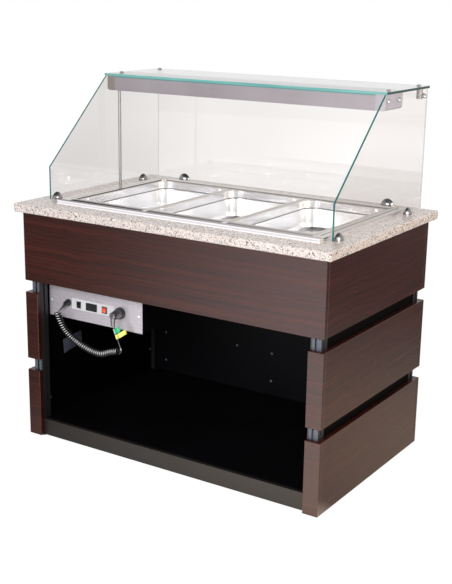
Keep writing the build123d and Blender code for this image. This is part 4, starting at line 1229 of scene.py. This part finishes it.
        seam = [edge for edge in shape.edges if all(map(ahead, edge.verts))]
        bows = [math.sin(step / self.folds * self.bow) * self.sag for step in range(self.folds + 1)]
        for bow, next_bow in zip(bows, bows[1:]):
            grown = bmesh.ops.extrude_edge_only(shape, edges=seam)
            move = across * (length - sleeve) / self.folds + up * rise / self.folds + out * (next_bow - bow)
            bmesh.ops.translate(shape, verts=of_kind(grown, bmesh.types.BMVert), vec=move)
            seam = of_kind(grown, bmesh.types.BMEdge)
        flag = shop.solid(name, shape, crease=60.0)
        wall = flag.modifiers.new("film", "SOLIDIFY")
        wall.thickness = self.film
        wall.offset = 0.0
        return shop.finish(flag, slot, BODY, (node,))


@dataclass
class CabinetDetail:
    """Small screws and the bare plate inside the cabinet."""

    back: tuple[Ends, ...] = (
        (-0.511, 0.237), (-0.511, 0.117), (0.006, 0.244), (0.006, 0.129), (-0.157, 0.248),
    )
    left: tuple[Ends, ...] = ((-0.306, 0.134), (0.320, 0.158))
    head: float = 0.0048
    plate: tuple[Ends, ...] = ((-0.224, 0.287), (-0.120, 0.304), (-0.124, 0.353), (-0.228, 0.343))
    plate_t: float = 0.0015
    plate_edge: float = 0.0004

    def build(self, shop: Workshop) -> None:
        """Makes the screws and the plate."""
        back_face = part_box("back_panel")[0].y
        left_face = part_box("left_side_panel")[1].x
        shape = bmesh.new()
        for x, z in self.back:
            add_screw(shape, Vector((x, back_face, z)), Vector((0, -1, 0)), self.head)
        for y, z in self.left:
            add_screw(shape, Vector((left_face, y, z)), Vector((1, 0, 0)), self.head)
        shop.finish(shop.solid("inner_screws", shape), Slot.POSTS, BODY, material=shop.wardrobe.zinc)
        self.wall_plate(shop, left_face)

    def wall_plate(self, shop: Workshop, face: float) -> None:
        """A bare plate with broken edges on the left wall, hung a little askew."""
        shape = bmesh.new()
        corners = [shape.verts.new((face, y, z)) for y, z in self.plate]
        flat = shape.faces.new(corners)
        grown = bmesh.ops.extrude_face_region(shape, geom=[flat], use_keep_orig=True)
        lifted = of_kind(grown, bmesh.types.BMVert)
        bmesh.ops.translate(shape, verts=lifted, vec=(self.plate_t, 0, 0))
        bmesh.ops.recalc_face_normals(shape, faces=shape.faces)
        bmesh.ops.bevel(
            shape, geom=shape.edges[:], offset=self.plate_edge, affect="EDGES",
            segments=2, profile=0.5, material=-1,
        )
        shop.finish(shop.solid("wall_plate", shape), Slot.POSTS, BODY, material=shop.wardrobe.zinc)


@dataclass
class ControlDetail:
    """Screws of the control plate."""

    screws: tuple[Ends, ...] = ((-0.554, 0.524), (-0.153, 0.528))
    head: float = 0.0042

    def build(self, shop: Workshop) -> None:
        """Makes the screws."""
        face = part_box("control_panel")[0].y
        shape = bmesh.new()
        for x, z in self.screws:
            add_screw(shape, Vector((x, face, z)), Vector((0, -1, 0)), self.head)
        shop.finish(shop.solid("plate_screws", shape), Slot.STEEL, BODY)


@dataclass
class Counter:
    """The whole counter: CAD nodes in their finishes, and the pieces made here."""

    frame: dict[str, Any]
    lead: MainsLead = field(default_factory=MainsLead)
    cabinet: CabinetDetail = field(default_factory=CabinetDetail)
    controls: ControlDetail = field(default_factory=ControlDetail)

    def build(self) -> None:
        """Dresses the nodes and makes the pieces."""
        wardrobe = Wardrobe()
        shop = Workshop(wardrobe)
        slots = {row["node"]: row["material_slot"] for row in self.frame["record"]["subparts"]}
        for name, thing in self.frame["nodes"].items():
            material = wardrobe.of_node(name, slots[name])
            for place in thing.material_slots:
                place.material = material
        self.lead.build(shop, self.frame["nodes"]["mains_plug"])
        self.cabinet.build(shop)
        self.controls.build(shop)


def main() -> None:
    """Builds the scene."""
    logging.basicConfig(level=logging.INFO, format="%(name)s: %(message)s")
    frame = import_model()
    bpy.context.scene.view_settings.view_transform = "Standard"
    Viewpoint().build()
    Studio().build()
    Counter(frame).build()


if __name__ == "__main__":
    main()
